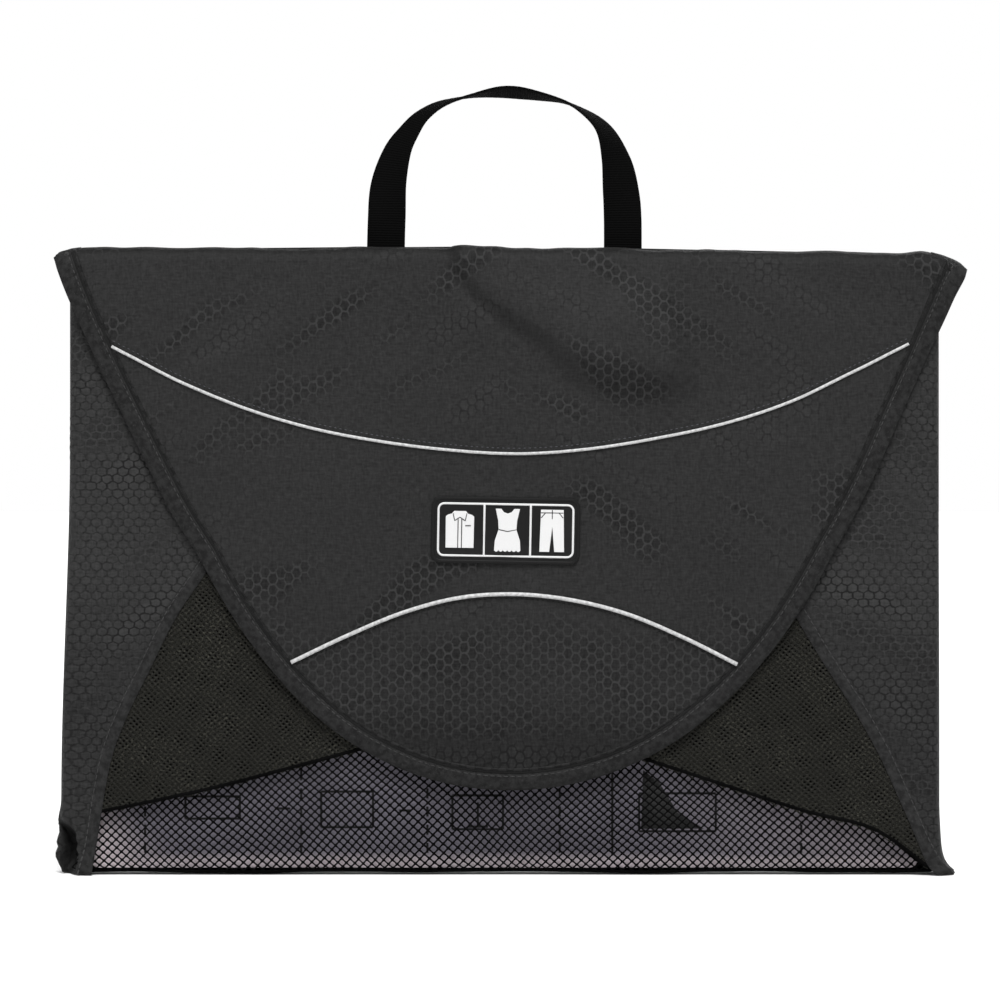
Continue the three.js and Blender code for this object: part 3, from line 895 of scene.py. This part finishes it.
def bottom_relief(p):
    return 0.35 * ripple(p, 60, 31) + 0.16 * ripple(p, 20, 32) - 0.1


def back_base(p):
    x, z = p[:, 0], p[:, 1]
    return in_space(-x, np.full(len(p), BACK_SHEET), z - hang(-x, z))


def back_relief(p):
    inner = smoothstep(np.abs(p[:, 0]), HALF_WIDTH - 8, HALF_WIDTH - 40)
    return inner * (0.5 + 0.5 * ripple(p, 70, 41) + 0.2 * ripple(p, 24, 42))


def board_base(p):
    return in_space(p[:, 0], np.full(len(p), BACK_Y - (BOARD_LOW[1] + BOARD_HIGH[1]) / 2), p[:, 1])


FLAP = Surface(flap_base, flap_relief)
WING = Surface(wing_base, wing_relief)
BOTTOM = Surface(bottom_base, bottom_relief)
BACK = Surface(back_base, back_relief)
BOARD = Surface(board_base)

TOP_CORNER = TOP - TOP_ROUND + TOP_ROUND * QUARTER
SPINE_SEAM = TOP_CORNER + 4.6
SPINE_END = TOP_CORNER + straight_run(FLAP_MIDDLE, TOP_ROUND) + 8
SIDE_CORNER = HALF_WIDTH - SIDE_ROUND + SIDE_ROUND * QUARTER
GUSSET_SEAM = SIDE_CORNER + 5.2
GUSSET_END = SIDE_CORNER + straight_run(WING_MIDDLE, SIDE_ROUND) + 8
BOTTOM_END = BOTTOM_ROUND - BOTTOM_ROUND * QUARTER - straight_run(BOTTOM_MIDDLE, BOTTOM_ROUND) - 5


def hinge_point(depth, z, x=0.0):
    """A point of the frame, in metres, from a depth in front of the folder's back in millimetres."""
    return (x * MM, (BACK_Y - depth) * MM, z * MM)


def flat_facts(piece):
    """Size and area of a piece's flat pattern, in metres. Both faces of the cloth are in it."""
    mesh = piece.data
    uv = np.zeros(len(mesh.loops) * 2, np.float32)
    mesh.uv_layers["pattern"].data.foreach_get("uv", uv)
    uv = uv.reshape(-1, 2)
    area = sum(abs(signed_area(uv[f.loop_start:f.loop_start + f.loop_total])) for f in mesh.polygons) / 2
    return (uv.max(0) - uv.min(0)).tolist(), area


def cloth_facts(piece, cut=None):
    """Works out a sheet's flat size and area, and does nothing more with them. Its area is that of its flat
    pattern, or that inside the outline it is cut to.
    """
    flat, area = flat_facts(piece)
    if cut is not None:
        area = abs(signed_area(cut)) * MM * MM


def tape(name, line, surface, size, lift, material, body, slot, *nodes):
    """A flat tape of a width and thickness along a line, set in its place."""
    piece = along_surface(name, np.asarray(line, float), surface, tape_section(*size), lift, material)
    return place(piece, body, slot, *nodes)


def fastener_strip(name, surface, lift, material, body):
    """A strip of hook-and-loop tape as large as its CAD node."""
    centre, size = front_face(name)
    outline = evenly(rounded_outline(centre, *size, 1.5), 2)
    place(sheet_piece(name, outline, surface, 0.7, material, 2.5, lift), body, "fastener", name)


def place(piece, body, slot, *nodes):
    """Rides on one body, or, given two of them as (a, b, start, end), stays fixed where it is. Hides the CAD
    nodes it stands for.
    """
    if isinstance(body, str):
        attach(piece, body)
    else:
        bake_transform(piece)
    if nodes:
        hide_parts(*nodes)
    return piece


# ---------------------------------------------------------------- top flap
FLAP_FOLD = ("top_spine", "top_flap", hinge_point(13.5, TOP - 1), hinge_point(FLAP_DEPTH + 0.3, TOP - 10))
SPINE_FOLD = ("back", "top_spine", hinge_point(0, TOP - 6), hinge_point(6, TOP - 1))
FLAP_BINDING_WIDTH = 8.3

left_side = [(-214, SPINE_SEAM), (-219, 312), (-222.7, 308.6), (-221.4, 304.4), (-213.4, 281.5),
             (-201.6, 253.9), (-184.9, 219.4), (-165.6, 180.4), (-150, 155)]
right_side = [(159, 152), (177.5, 185.4), (196.2, 226.8), (214.6, 269.7), (222.4, 291),
              (227.2, 302.4), (228.6, 306.6), (224.5, 311), (214, SPINE_SEAM)]
lower_left = bezier((-150, 155), (-118, 92), (-70, 40.5), (3, 40.5))
lower_right = bezier((3, 40.5), (76, 40.5), (128, 92), (159, 152))
flap_edge = resample(np.vstack([curve(left_side, 56)[:-1], lower_left[:-1], lower_right[:-1],
                                curve(right_side, 56)]), 2.5)
flap_panel = sheet_piece("top_flap_panel", beside(flap_edge, 1.6), FLAP, 0.9, FLAP_CLOTH, 2.6)
place(flap_panel, FLAP_FOLD, "ripstop", "top_flap_panel")

binding_line = beside(flap_edge, FLAP_BINDING_WIDTH / 2)
flap_binding = tape("top_flap_binding", binding_line, FLAP, (FLAP_BINDING_WIDTH, 1.9), 0.05, BINDING,
                    FLAP_FOLD, "binding", "top_flap_binding")
flap_stitches = stitch_row("flap_binding_stitches", [beside(flap_edge, FLAP_BINDING_WIDTH - 1.3)[3:-3]],
                           FLAP, 0.86, THREAD, 3.3, 2.2, 0.25)
place(flap_stitches, FLAP_FOLD, "binding")
# The roll is the seam's ridge; the thin dark tape at the binding's inner edge is painted shade, standing for
# the groove's shadow there.
for name, offset, size, lift, material, slot in (
        ("flap_seam_roll", 1.9, (1.8, 1.3, 2), 0.3, FLAP_CLOTH, "ripstop"),
        ("flap_seam_shade_line", 0.5, (1.0, 0.3, 2), 0.5, THREAD_DARK, "binding")):
    line = beside(flap_edge, FLAP_BINDING_WIDTH + offset)[6:-6]
    tape(name, line, FLAP, size, lift, material, FLAP_FOLD, slot)

corners = [(-214, SPINE_SEAM - 3), (214, SPINE_SEAM - 3), (213.5, SPINE_END), (-213.5, SPINE_END)]
spine = sheet_piece("top_spine_panel", evenly(corners, 2.6), FLAP, 0.8, FLAP_CLOTH, 2.6, -0.75)
place(spine, SPINE_FOLD, "ripstop", "top_spine_panel")
tape("top_spine_seam", [(-213.5, SPINE_SEAM - 1.2), (213.5, SPINE_SEAM - 1.2)], FLAP, (6, 1.0), 0.35, BINDING,
     "top_spine", "binding")

upper_line = curve([(-193.3, 259.4), (-160, 242.4), (-126, 228.6), (-92.7, 218.9),
                    (-59.2, 212.6), (-25.6, 208.5), (7.9, 206.8), (41.4, 209.1), (75, 214.4),
                    (108.5, 221.7), (142, 232.9), (175.5, 249.4), (199.4, 262.2)], 130)
lower_line = curve([(-105, 104), (-77, 117.3), (-49.3, 128.7), (-21.7, 135.9), (5.9, 137.6), (33.5, 134.7),
                    (61, 127.7), (88.7, 116.1), (114.9, 103)], 90)
for name, line, radius, offset, thread in (("upper_piping", upper_line, 0.74, 2.7, PIPING_THREAD),
                                           ("lower_piping", lower_line, 0.98, -2.2, THREAD_DARK)):
    cord = along_surface(name, line, FLAP, round_section(radius, 12), 0.45 + radius * 0.7, PIPING, 1.3)
    place(cord, "top_flap", "piping", name)
    row = stitch_row(name + "_stitches", [beside(line, offset)], FLAP, 0.45, thread, 2.6, 1.3, 0.2)
    place(row, "top_flap", "binding")


# ---------------------------------------------------------------- rubber patch
PATCH_TURN = math.radians(-1.0)
patch_centre, patch_size = front_face("rubber_patch")
patch_centre = patch_centre + [0, 0.5]
patch_size = patch_size - [0.3, 1.2]
FRAME_SIZE = patch_size - [6.8, 7.2]
DIVIDERS = (-10.6, 12.2)
PATCH_TOP = 1.9


def on_patch(points):
    """Patch drawing coordinates to pattern coordinates: the patch sits a little askew."""
    c, s = math.cos(PATCH_TURN), math.sin(PATCH_TURN)
    return np.array(points, float) @ np.array([[c, s], [-s, c]]) + patch_centre


def patch_plate(name, shape, heights, material, inset=0.0, sharp=35):
    """A raised plate: shape(shrink) gives its outline, heights its (shrink, height) rings."""
    rings = [(on_patch(shape(shrink + inset)), height) for shrink, height in heights]
    piece = moulding(name, rings, FLAP, material)
    piece.data.set_sharp_from_angle(angle=math.radians(sharp))
    return piece


def patch_body(shrink):
    return rounded_outline((0, 0), *(patch_size - 2 * shrink), max(5 - shrink, 0.6), 9)


plate = patch_plate("rubber_patch", patch_body,
                    [(0.25, 0.2), (0, 0.5), (0, 1.35), (0.2, 1.75), (0.6, PATCH_TOP), (1.3, PATCH_TOP),
                     (1.7, PATCH_TOP - 0.35)], RUBBER)
place(plate, "top_flap", "rubber", "rubber_patch")


def field_outline(shrink):
    return rounded_outline((0, 0.2), *(FRAME_SIZE - 0.5 - 2 * shrink), 2.4 - shrink, 9)


field = patch_plate("patch_field", field_outline, [(0, 1.3), (0, 1.5), (0.1, 1.6)], RUBBER_FIELD)
place(field, "top_flap", "rubber")


frame_line = looped(rounded_outline((0, 0), *FRAME_SIZE, 2.8, 9)) + [0, 0.2]
frame_band = tape_section(1.02, 0.7, 3)
frame_parts = [along_surface("patch_frame", on_patch(frame_line), FLAP, frame_band, PATCH_TOP - 0.2,
                             WHITE_RUBBER, 0.7, True)]
for x in DIVIDERS:
    post = [(x, -FRAME_SIZE[1] / 2), (x, FRAME_SIZE[1] / 2)]
    frame_parts.append(along_surface("divider", on_patch(post), FLAP, frame_band, PATCH_TOP - 0.2,
                                     WHITE_RUBBER, 0.9))
place(joined("patch_frame", frame_parts), "top_flap", "print", "patch_frame")

hem = [(6.5 - 13.0 * t, -10.0 - 0.7 * abs(math.sin(t * 6 * math.pi))) for t in np.linspace(0, 1, 25)]
PICTOGRAMS = {
    "shirt_pictogram": (-22.6, [(-6.9, -9), (6.9, -9), (7.0, 6.7), (6.0, 7.6), (4.0, 8.2), (2.9, 9.5),
                                (-2.9, 9.5), (-4.0, 8.2), (-6.0, 7.6), (-7.0, 6.7)],
                        [[(-3.4, 8.3), (-2.6, 4.6), (0, 6.4), (2.6, 4.6), (3.4, 8.3)],
                         [(-0.9, 5.6), (-0.9, -9)], [(0.9, 5.6), (0.9, -9)], [(2.7, 2.2), (5.4, 2.2)]]),
    "dress_pictogram": (0.9, [(6.0, 11), (3.2, 11), (1.9, 9.3), (0, 8.6), (-1.9, 9.3), (-3.2, 11), (-6.0, 11),
                              (-4.7, 5.0), (-4.4, 0.6), (-6.2, -5), *hem[::-1], (6.2, -5), (4.4, 0.6),
                              (4.7, 5.0)],
                        [[(-4.3, 0.5), (0, -0.4), (4.3, 0.5)]]),
    "trousers_pictogram": (22.8, [(-5.6, 10.9), (5.6, 10.9), (6.1, -10.3), (1.2, -10.3), (0.1, 2.4),
                                  (-1.2, -10.3), (-6.1, -10.3)],
                           [[(-5.5, 9.3), (5.5, 9.3)], [(0, 10.8), (0, 6.2)], [(-5.4, 6.8), (-3.4, 9.2)],
                            [(5.4, 6.8), (3.4, 9.2)]]),
}
PICTOGRAM_SCALE = (1, 0.98)
for name, (x, outline, details) in PICTOGRAMS.items():
    outline = np.array(outline) * PICTOGRAM_SCALE + [x, 0]
    outline = outline if signed_area(outline) > 0 else outline[::-1]
    ends_met = np.vstack([outline[-1:], outline, outline[:1]])

    def shape(shrink, ends_met=ends_met):
        return beside(ends_met, shrink)[1:-1]

    icon = patch_plate(name, shape, [(0, 1.4), (0, 1.85), (0.12, 2.0)], WHITE_RUBBER)
    place(icon, "top_flap", "print", name)
    lines = [along_surface("detail", on_patch(np.array(d) * PICTOGRAM_SCALE + [x, 0]), FLAP,
                           tape_section(0.42, 0.24, 3), 1.98, RUBBER, 0.45) for d in details]
    place(joined(name.replace("pictogram", "lines"), lines), "top_flap", "rubber")


# ---------------------------------------------------------------- wings and gussets
YOKE_SEAMS = {
    -1: [(-119, 203), (-132, 175), (-147.4, 148.4), (-162.2, 126.2), (-176.5, 97.6), (-185.9, 78.4),
         (-193.3, 59.2), (-197.7, 38.9), (-200.7, 19.7), (-204.2, -1)],
    1: [(105, 189), (125, 160), (144.4, 126.2), (158.3, 103), (173, 80.4), (185.9, 57.2), (195.7, 35.5),
        (204.1, 16.3), (211, -1.5)],
}
WING_EDGES = {
    -1: [(-203, 28.5), (-166, 36), (-130, 44.4), (-71, 60.1), (-4, 78)],
    1: [(209, 2), (190.3, 16.3), (175.5, 23.2), (148.4, 29.6), (105.5, 43.4), (71, 54.7), (4, 76)],
}
WING_TOP = 299


def make_wing(side):
    """Everything sewn to one wing and its gusset: side is -1 for the left and 1 for the right."""
    name = "left" if side < 0 else "right"
    body = f"{name}_wing"
    gusset_body = f"{name}_gusset"
    fold = (gusset_body, body, hinge_point(11, TOP / 2, side * HALF_WIDTH),
            hinge_point(WING_DEPTH + 0.5, TOP / 2, side * (HALF_WIDTH - 9)))
    tuck = ("back", gusset_body, hinge_point(0, TOP / 2, side * (HALF_WIDTH - 6)),
            hinge_point(6.5, TOP / 2, side * HALF_WIDTH))
    seam = curve(YOKE_SEAMS[side], 90)

    # Yoke cloth from its seam round the side fold to the seam in the gusset's middle.
    outer = [(side * GUSSET_SEAM, -1.0), (side * GUSSET_SEAM, WING_TOP + 5), (side * 214, WING_TOP + 1)]
    yoke = sheet_piece(f"{body}_yoke", evenly(np.vstack([seam, outer]), 2.6), WING, 0.8, WING_CLOTH, 2.8)
    place(yoke, fold, "ripstop", f"{body}_yoke")
    tape(f"{body}_seam_tape", beside(seam, 3.0 * side), WING, (6.4, 1.1), 0.45, SEAM_TAPE, body, "binding",
         f"{body}_seam_tape")
    row = beside(seam, 5.2 * side)
    place(stitch_row(f"{name}_yoke_stitches", [row], WING, 0.98, THREAD), body, "binding")

    corners = [(GUSSET_SEAM - 3, -0.6), (GUSSET_END, -0.6), (GUSSET_END, TOP - 2), (GUSSET_SEAM - 3, TOP - 2)]
    outline = evenly(np.array(corners) * [side, 1], 2.6)
    gusset = sheet_piece(f"{gusset_body}_panel", outline, WING, 0.8, WING_CLOTH, 2.8, -0.75)
    place(gusset, tuck, "ripstop", f"{gusset_body}_panel")
    ridge = np.array([(GUSSET_SEAM - 1.4, -0.5), (GUSSET_SEAM - 1.4, WING_TOP + 4)]) * [side, 1]
    tape(f"{gusset_body}_seam", ridge, WING, (4.5, 0.9), 0.3, BINDING, gusset_body, "binding")

    # Mesh over its dark lining, from under the yoke to the tip.
    lower = curve(WING_EDGES[side], 80)
    inner_seam = beside(seam, 3.2 * side)[::-1]
    start = next(i for i, q in enumerate(inner_seam) if q[1] > lower[0][1])
    panel = evenly(np.vstack([lower[::-1], inner_seam[start:]]), 2.5)
    lining = sheet_piece(f"{body}_lining", panel, WING, 0.3, WING_LINING, 3.5, -0.62)
    place(lining, body, "mesh")
    low, high = panel.min(0), panel.max(0)

    def keep(q):
        return inside(q, panel)

    front = lattice_piece(f"{body}_mesh", keep, low, high, WING, WING_YARN, cell=(3.2, 2.9), strand=0.86,
                          thickness=0.34, lift=0.0, turn=0.06 * side, fine=True, slack=0.5, seed=51 + side)
    rear = lattice_piece(f"{body}_mesh_rear", keep, low, high, WING, WING_YARN, cell=(2.9, 2.7), strand=0.8,
                         thickness=0.3, lift=-0.3, turn=0.2 * side, fine=False, slack=0.4, seed=61 + side)
    place(front, body, "mesh", f"{body}_mesh")
    place(rear, body, "mesh")

    upper = np.array([inner_seam[-1], lower[-1]])
    hem_parts = [along_surface("hem", beside(line, offset * side), WING, tape_section(*size), 0.0, HEM_CLOTH)
                 for line, offset, size in ((lower, -0.8, (1.8, 0.8)), (upper, -2.2, (4.6, 0.9)))]
    place(joined(f"{body}_hem", hem_parts), body, "mesh", f"{body}_hem")
    fastener_strip(f"{body}_loop_strip", WING, 0.75, LOOPS, body)

    cloth_facts(yoke)
    for piece, cut in ((gusset, None), (lining, None), (front, panel), (rear, panel)):
        cloth_facts(piece, cut=cut)


for side in (-1, 1):
    make_wing(side)

fastener_strip("flap_hook_strip", FLAP, -0.85, HOOKS, "top_flap")


# ---------------------------------------------------------------- bottom mesh flap
MESH_CELL = (4.44, 4.1)
BOTTOM_FOLD = ("back", "bottom_flap", hinge_point(11.5, 0), hinge_point(BOTTOM_DEPTH + 0.4, 7))
bottom_outline = np.array([(-213, -2.6), (213, -2.6), (213, 3), (206, 28), (152, 87), (-152, 87),
                           (-206, 28), (-213, 3)])


def in_bottom(q):
    return inside(q, bottom_outline)


bottom_mesh = lattice_piece("bottom_mesh_flap", in_bottom, bottom_outline.min(0), bottom_outline.max(0),
                            BOTTOM, MESH_YARN, cell=MESH_CELL, strand=0.68, thickness=0.46, lift=0.0,
                            turn=0.03, fine=True, slack=1.0, seed=71)
place(bottom_mesh, BOTTOM_FOLD, "mesh", "bottom_mesh_flap")
under = evenly([(-212.5, BOTTOM_END), (212.5, BOTTOM_END), (212.5, -0.6), (-212.5, -0.6)], 3)
bottom_gusset = sheet_piece("bottom_gusset", under, BOTTOM, 0.4, HEM_CLOTH, 3.0, -0.5)
place(bottom_gusset, "back", "mesh", "bottom_gusset")
bottom_rim = [(209, 6), (205, 28), (151, 86.5), (-151, 86.5), (-205, 28), (-209, 6)]
tape("bottom_flap_hem", bottom_rim, BOTTOM, (5, 1.1), 0.0, HEM_CLOTH, "bottom_flap", "mesh",
     "bottom_flap_hem")
tape("bottom_edge_seam", [(-212, -1.2), (212, -1.2)], BOTTOM, (4.4, 0.9), -0.1, HEM_CLOTH, "back", "mesh")


# ---------------------------------------------------------------- folding board
board_centre, board_size = front_face("folding_board")
board_half = (BOARD_HIGH - BOARD_LOW)[1] / 2


def board_ring(shrink):
    return rounded_outline(board_centre, *(board_size - 2 * shrink), 4 - shrink, 9)


board = moulding("folding_board", [(board_ring(0.3), -board_half), (board_ring(0), -board_half + 0.3),
                                   (board_ring(0), board_half - 0.3), (board_ring(0.3), board_half)], BOARD,
                 BOARD_PLASTIC)
board.data.set_sharp_from_angle(angle=math.radians(35))
place(board, "board", "board", "folding_board")

DASHED = (-178, -100.6, -38, 27.6, 147.4)
SOLID = 53.7
BOXES = [((-158, 26), (-131, 37)), ((-90.7, 21.7), (-65, 39.4)), ((-25.6, 20.7), (-0.5, 37.5)),
         ((67, 19.7), (105, 38.5))]
PICTURE = np.array([(68, 21), (99, 21), (86, 29), (77, 44), (69, 50)], float)
strokes = []
for x in DASHED:
    strokes += [[(x, z), (x, z + 5)] for z in np.arange(9, BOARD_HIGH[2] - 14, 9)]
strokes.append([(SOLID, 8), (SOLID, BOARD_HIGH[2] - 10)])
strokes += [[(-190, z), (190, z)] for z in (138, 212)]
for (x0, z0), (x1, z1) in BOXES:
    corners = [(x0, z0), (x1, z0), (x1, z1), (x0, z1), (x0, z0)]
    strokes += [list(pair) for pair in zip(corners, corners[1:])]
strokes += [[(-13, 22), (-13, 34)], [(-18, 22), (-8, 22)], [(-113, 31), (-106, 31)], [(-52, 30), (-46, 30)]]
stroke_band = tape_section(1.1, 0.12, 3)
for face, lift in (("front", board_half), ("rear", -board_half)):
    lines = [along_surface("stroke", np.array(q, float), BOARD, stroke_band, lift, PRINT_INK, 60)
             for q in strokes]
    lines.append(moulding("picture", [(PICTURE, lift - 0.05), (PICTURE, lift + 0.06)], BOARD, PRINT_TINT))
    place(joined(f"board_print_{face}", lines), "board", "print")


# ---------------------------------------------------------------- back panel
seam_height = node_box("back_yoke")[0][2]


def in_back(q):
    return (np.abs(q[:, 0]) < HALF_WIDTH - 6) & (q[:, 1] > BACK_LOW[2] + 5) & (q[:, 1] < seam_height + 4)


back_mesh = lattice_piece("back_mesh_panel", in_back, (-HALF_WIDTH, 0), (HALF_WIDTH, seam_height + 4), BACK,
                          MESH_YARN, cell=MESH_CELL, strand=0.72, thickness=0.42, lift=0.0, turn=0.0,
                          fine=False, slack=0.6, seed=81)
place(back_mesh, "back", "mesh", "back_mesh_panel")
yoke_outline = evenly([(-209, seam_height), (209, seam_height), (209, TOP - 4), (-209, TOP - 4)], 3)
back_yoke = sheet_piece("back_yoke", yoke_outline, BACK, 0.8, FLAP_CLOTH, 3.2, 0.2)
place(back_yoke, "back", "ripstop", "back_yoke")
tape("back_yoke_seam", [(-208, seam_height + 2), (208, seam_height + 2)], BACK, (6, 1.0), 0.75, SEAM_TAPE,
     "back", "binding")


def back_ring(inset_x, inset_z, radius, arc):
    """A closed line round the back panel, inside its edge by half of each inset."""
    middle = (0, (BACK_LOW[2] + TOP) / 2)
    return looped(rounded_outline(middle, 2 * HALF_WIDTH - inset_x, TOP - BACK_LOW[2] - inset_z, radius, arc))


back_binding = along_surface("back_binding", back_ring(10.6, 10, 4, 7), BACK, tape_section(10, 2.1), 0.0,
                             BINDING, 2.0, True)
place(back_binding, "back", "binding", "back_binding")
rows = [resample(back_ring(17.4, 17, 1.5, 4), 2),
        np.array([(-206, seam_height + 4), (206, seam_height + 4)])]
place(stitch_row("back_stitches", rows, BACK, 1.15, THREAD), "back", "binding")


# ---------------------------------------------------------------- handle
STRAP_WIDTH = 19.0
STRAP_THICKNESS = 1.5
STRAP_STEP = 1.35
hinge_z = node_box("handle_webbing")[0][2]
HANDLE_PATH = [(-57.9, 287), (-57.9, 304), (-57.5, 322), (-56.7, 339), (-52.9, 354.5), (-47.6, 364.3),
               (-40, 373.6), (-27.1, 380.6), (-2, 385.2), (20, 382.7),
               (35, 378), (48.8, 367.3), (55.2, 351.5),
               (57.5, 334.7), (58.2, 322), (58.2, 304), (58.2, 287)]
# Share of the strap's length, and how far it is turned on its side there, in degrees.
TURN_AT = [0, 0.15, 0.22, 0.285, 0.34, 0.40, 0.455, 0.505, 0.545, 0.585, 0.635, 0.685, 0.735, 0.79, 0.86, 1]
TURN = [0, 0, 26, 48, 62, 77, 90, 104, 98, 90, 78, 64, 46, 22, 0, 0]
HANDLE_SPREAD = 1.0255


def make_handle():
    flat = curve(HANDLE_PATH, 320)
    middle = CENTRE.z / MM
    grown = middle + (flat[:, 1] - middle) * HANDLE_SPREAD
    share_grown = smoothstep(flat[:, 1], 287, 322)
    flat = np.stack([flat[:, 0] * HANDLE_SPREAD, flat[:, 1] + (grown - flat[:, 1]) * share_grown], 1)
    flat = resample(flat, STRAP_STEP)
    count = len(flat)
    turn = np.radians(np.interp(np.linspace(0, 1, count), TURN_AT, TURN))
    turn = np.convolve(np.pad(turn, 6, "edge"), np.ones(13) / 13, "valid")[:, None]
    lean = 10 * ((np.maximum(flat[:, 1], hinge_z) - hinge_z) / (flat[:, 1].max() - hinge_z)) ** 1.2
    depth = -1.15 - 0.4 * smoothstep(flat[:, 1], hinge_z - 4, hinge_z + 8) - lean
    path = in_space(flat[:, 0], depth, flat[:, 1])

    # The tape's width and thickness directions, turned about its path.
    tangent = unit(np.gradient(path, axis=0))
    side = unit(np.cross(tangent, [0, 1.0, 0]))
    across = side * np.cos(turn) + np.cross(side, tangent) * np.sin(turn)
    lift = np.cross(tangent, across)
    section = tape_section(STRAP_WIDTH, STRAP_THICKNESS, 9)
    wave = 1 + 0.05 * np.sin(np.arange(count) * STRAP_STEP * 2 * math.pi / 2.4)
    rise = wave[:, None, None] * section[None, :, 1:]
    points = (path[:, None] + across[:, None] * section[None, :, :1] + lift[:, None] * rise).reshape(-1, 3)
    uv = np.stack([np.repeat(distance_along(path), len(section)), np.tile(section[:, 0], count)], 1)
    webbing = tube_piece("handle_webbing", points, uv, count, WEBBING)
    fold = ("back", "handle", hinge_point(-1.5, hinge_z - 5), hinge_point(-1.5, hinge_z + 6))
    place(webbing, fold, "webbing", "handle_webbing")


make_handle()
for name, x in (("left", -57.9 * HANDLE_SPREAD), ("right", 58.2 * HANDLE_SPREAD)):
    middle, size = front_face(f"{name}_handle_patch")
    centre = (-x, middle[1])
    outline = evenly(rounded_outline(centre, *size, 1.6), 1.6)
    pad = sheet_piece(f"{name}_handle_patch", outline, BACK, 1.0, SEAM_TAPE, 2.0, 3.6)
    place(pad, "back", "binding", f"{name}_handle_patch")
    w, h = size / 2 - 2.2
    corners = np.array([(centre[0] + a * w, centre[1] + b * h) for a, b in SQUARE])
    rows = [looped(corners), corners[[0, 2]], corners[[1, 3]]]
    place(stitch_row(f"{name}_handle_stitches", rows, BACK, 4.15, THREAD), "back", "binding")

cloth_facts(flap_panel)
cloth_facts(spine)
cloth_facts(bottom_mesh)
cloth_facts(bottom_gusset)
cloth_facts(back_mesh)
cloth_facts(back_yoke)


# ---------------------------------------------------------------- studio
AMBIENT = 0.22
WHITE = (1, 1, 1, 1)
FLOOR_REACH = 40.0
FLOOR_HEIGHT = -0.0019
# Name, direction of the light, strength, and how soft its shadows are, in degrees.
SUNS = (("key", (-0.08, 0.62, -1.0), 3.9, 27), ("fill", (0.7, 0.5, -0.25), 0.5, 60),
        ("back", (-0.35, -0.9, -0.5), 1.6, 50))


def make_studio():
    scene = bpy.context.scene
    scene.view_settings.view_transform = "Standard"
    camera = bpy.data.objects.new("camera", bpy.data.cameras.new("camera"))
    camera.data.lens = LENS
    camera.data.sensor_width = SENSOR
    camera.location = (CENTRE.x, FRONT - PHOTO_WIDTH * LENS / SENSOR, CENTRE.z)
    camera.rotation_euler = (QUARTER, 0, 0)
    scene.collection.objects.link(camera)
    scene.camera = camera

    # A white room: the camera sees plain white, and a softer light falls on the object.
    world = bpy.data.worlds.new("studio")
    world.use_nodes = True
    tree = world.node_tree
    ambient = tree.nodes["Background"]
    ambient.inputs[0].default_value = WHITE
    ambient.inputs[1].default_value = AMBIENT
    backdrop = tree.nodes.new("ShaderNodeBackground")
    backdrop.inputs[0].default_value = WHITE
    choice = tree.nodes.new("ShaderNodeMixShader")
    path = tree.nodes.new("ShaderNodeLightPath")
    for source, socket in ((path.outputs["Is Camera Ray"], choice.inputs[0]),
                           (ambient.outputs[0], choice.inputs[1]), (backdrop.outputs[0], choice.inputs[2]),
                           (choice.outputs[0], tree.nodes["World Output"].inputs[0])):
        tree.links.new(source, socket)
    scene.world = world

    floor_mesh = bpy.data.meshes.new("floor")
    corners = [(x * FLOOR_REACH, y * FLOOR_REACH, FLOOR_HEIGHT) for x, y in SQUARE]
    floor_mesh.from_pydata(corners, [], [(0, 1, 2, 3)])
    s = Shader("studio_floor", Roughness=0.9, Specular_IOR_Level=0.1)
    noise = s.noise(s.node("TexCoord").outputs["Object"], 3.0)
    floor_mesh.materials.append(s.finish(s.mix(noise, (0.86, 0.86, 0.86, 1), (0.9, 0.9, 0.9, 1))))
    floor = bpy.data.objects.new("floor", floor_mesh)
    scene.collection.objects.link(floor)

    for name, towards, strength, softness in SUNS:
        lamp = bpy.data.lights.new(name, "SUN")
        lamp.energy = strength
        lamp.angle = math.radians(softness)
        sun = bpy.data.objects.new(name, lamp)
        sun.rotation_euler = Vector(towards).to_track_quat("-Z", "Y").to_euler()
        scene.collection.objects.link(sun)


make_studio()
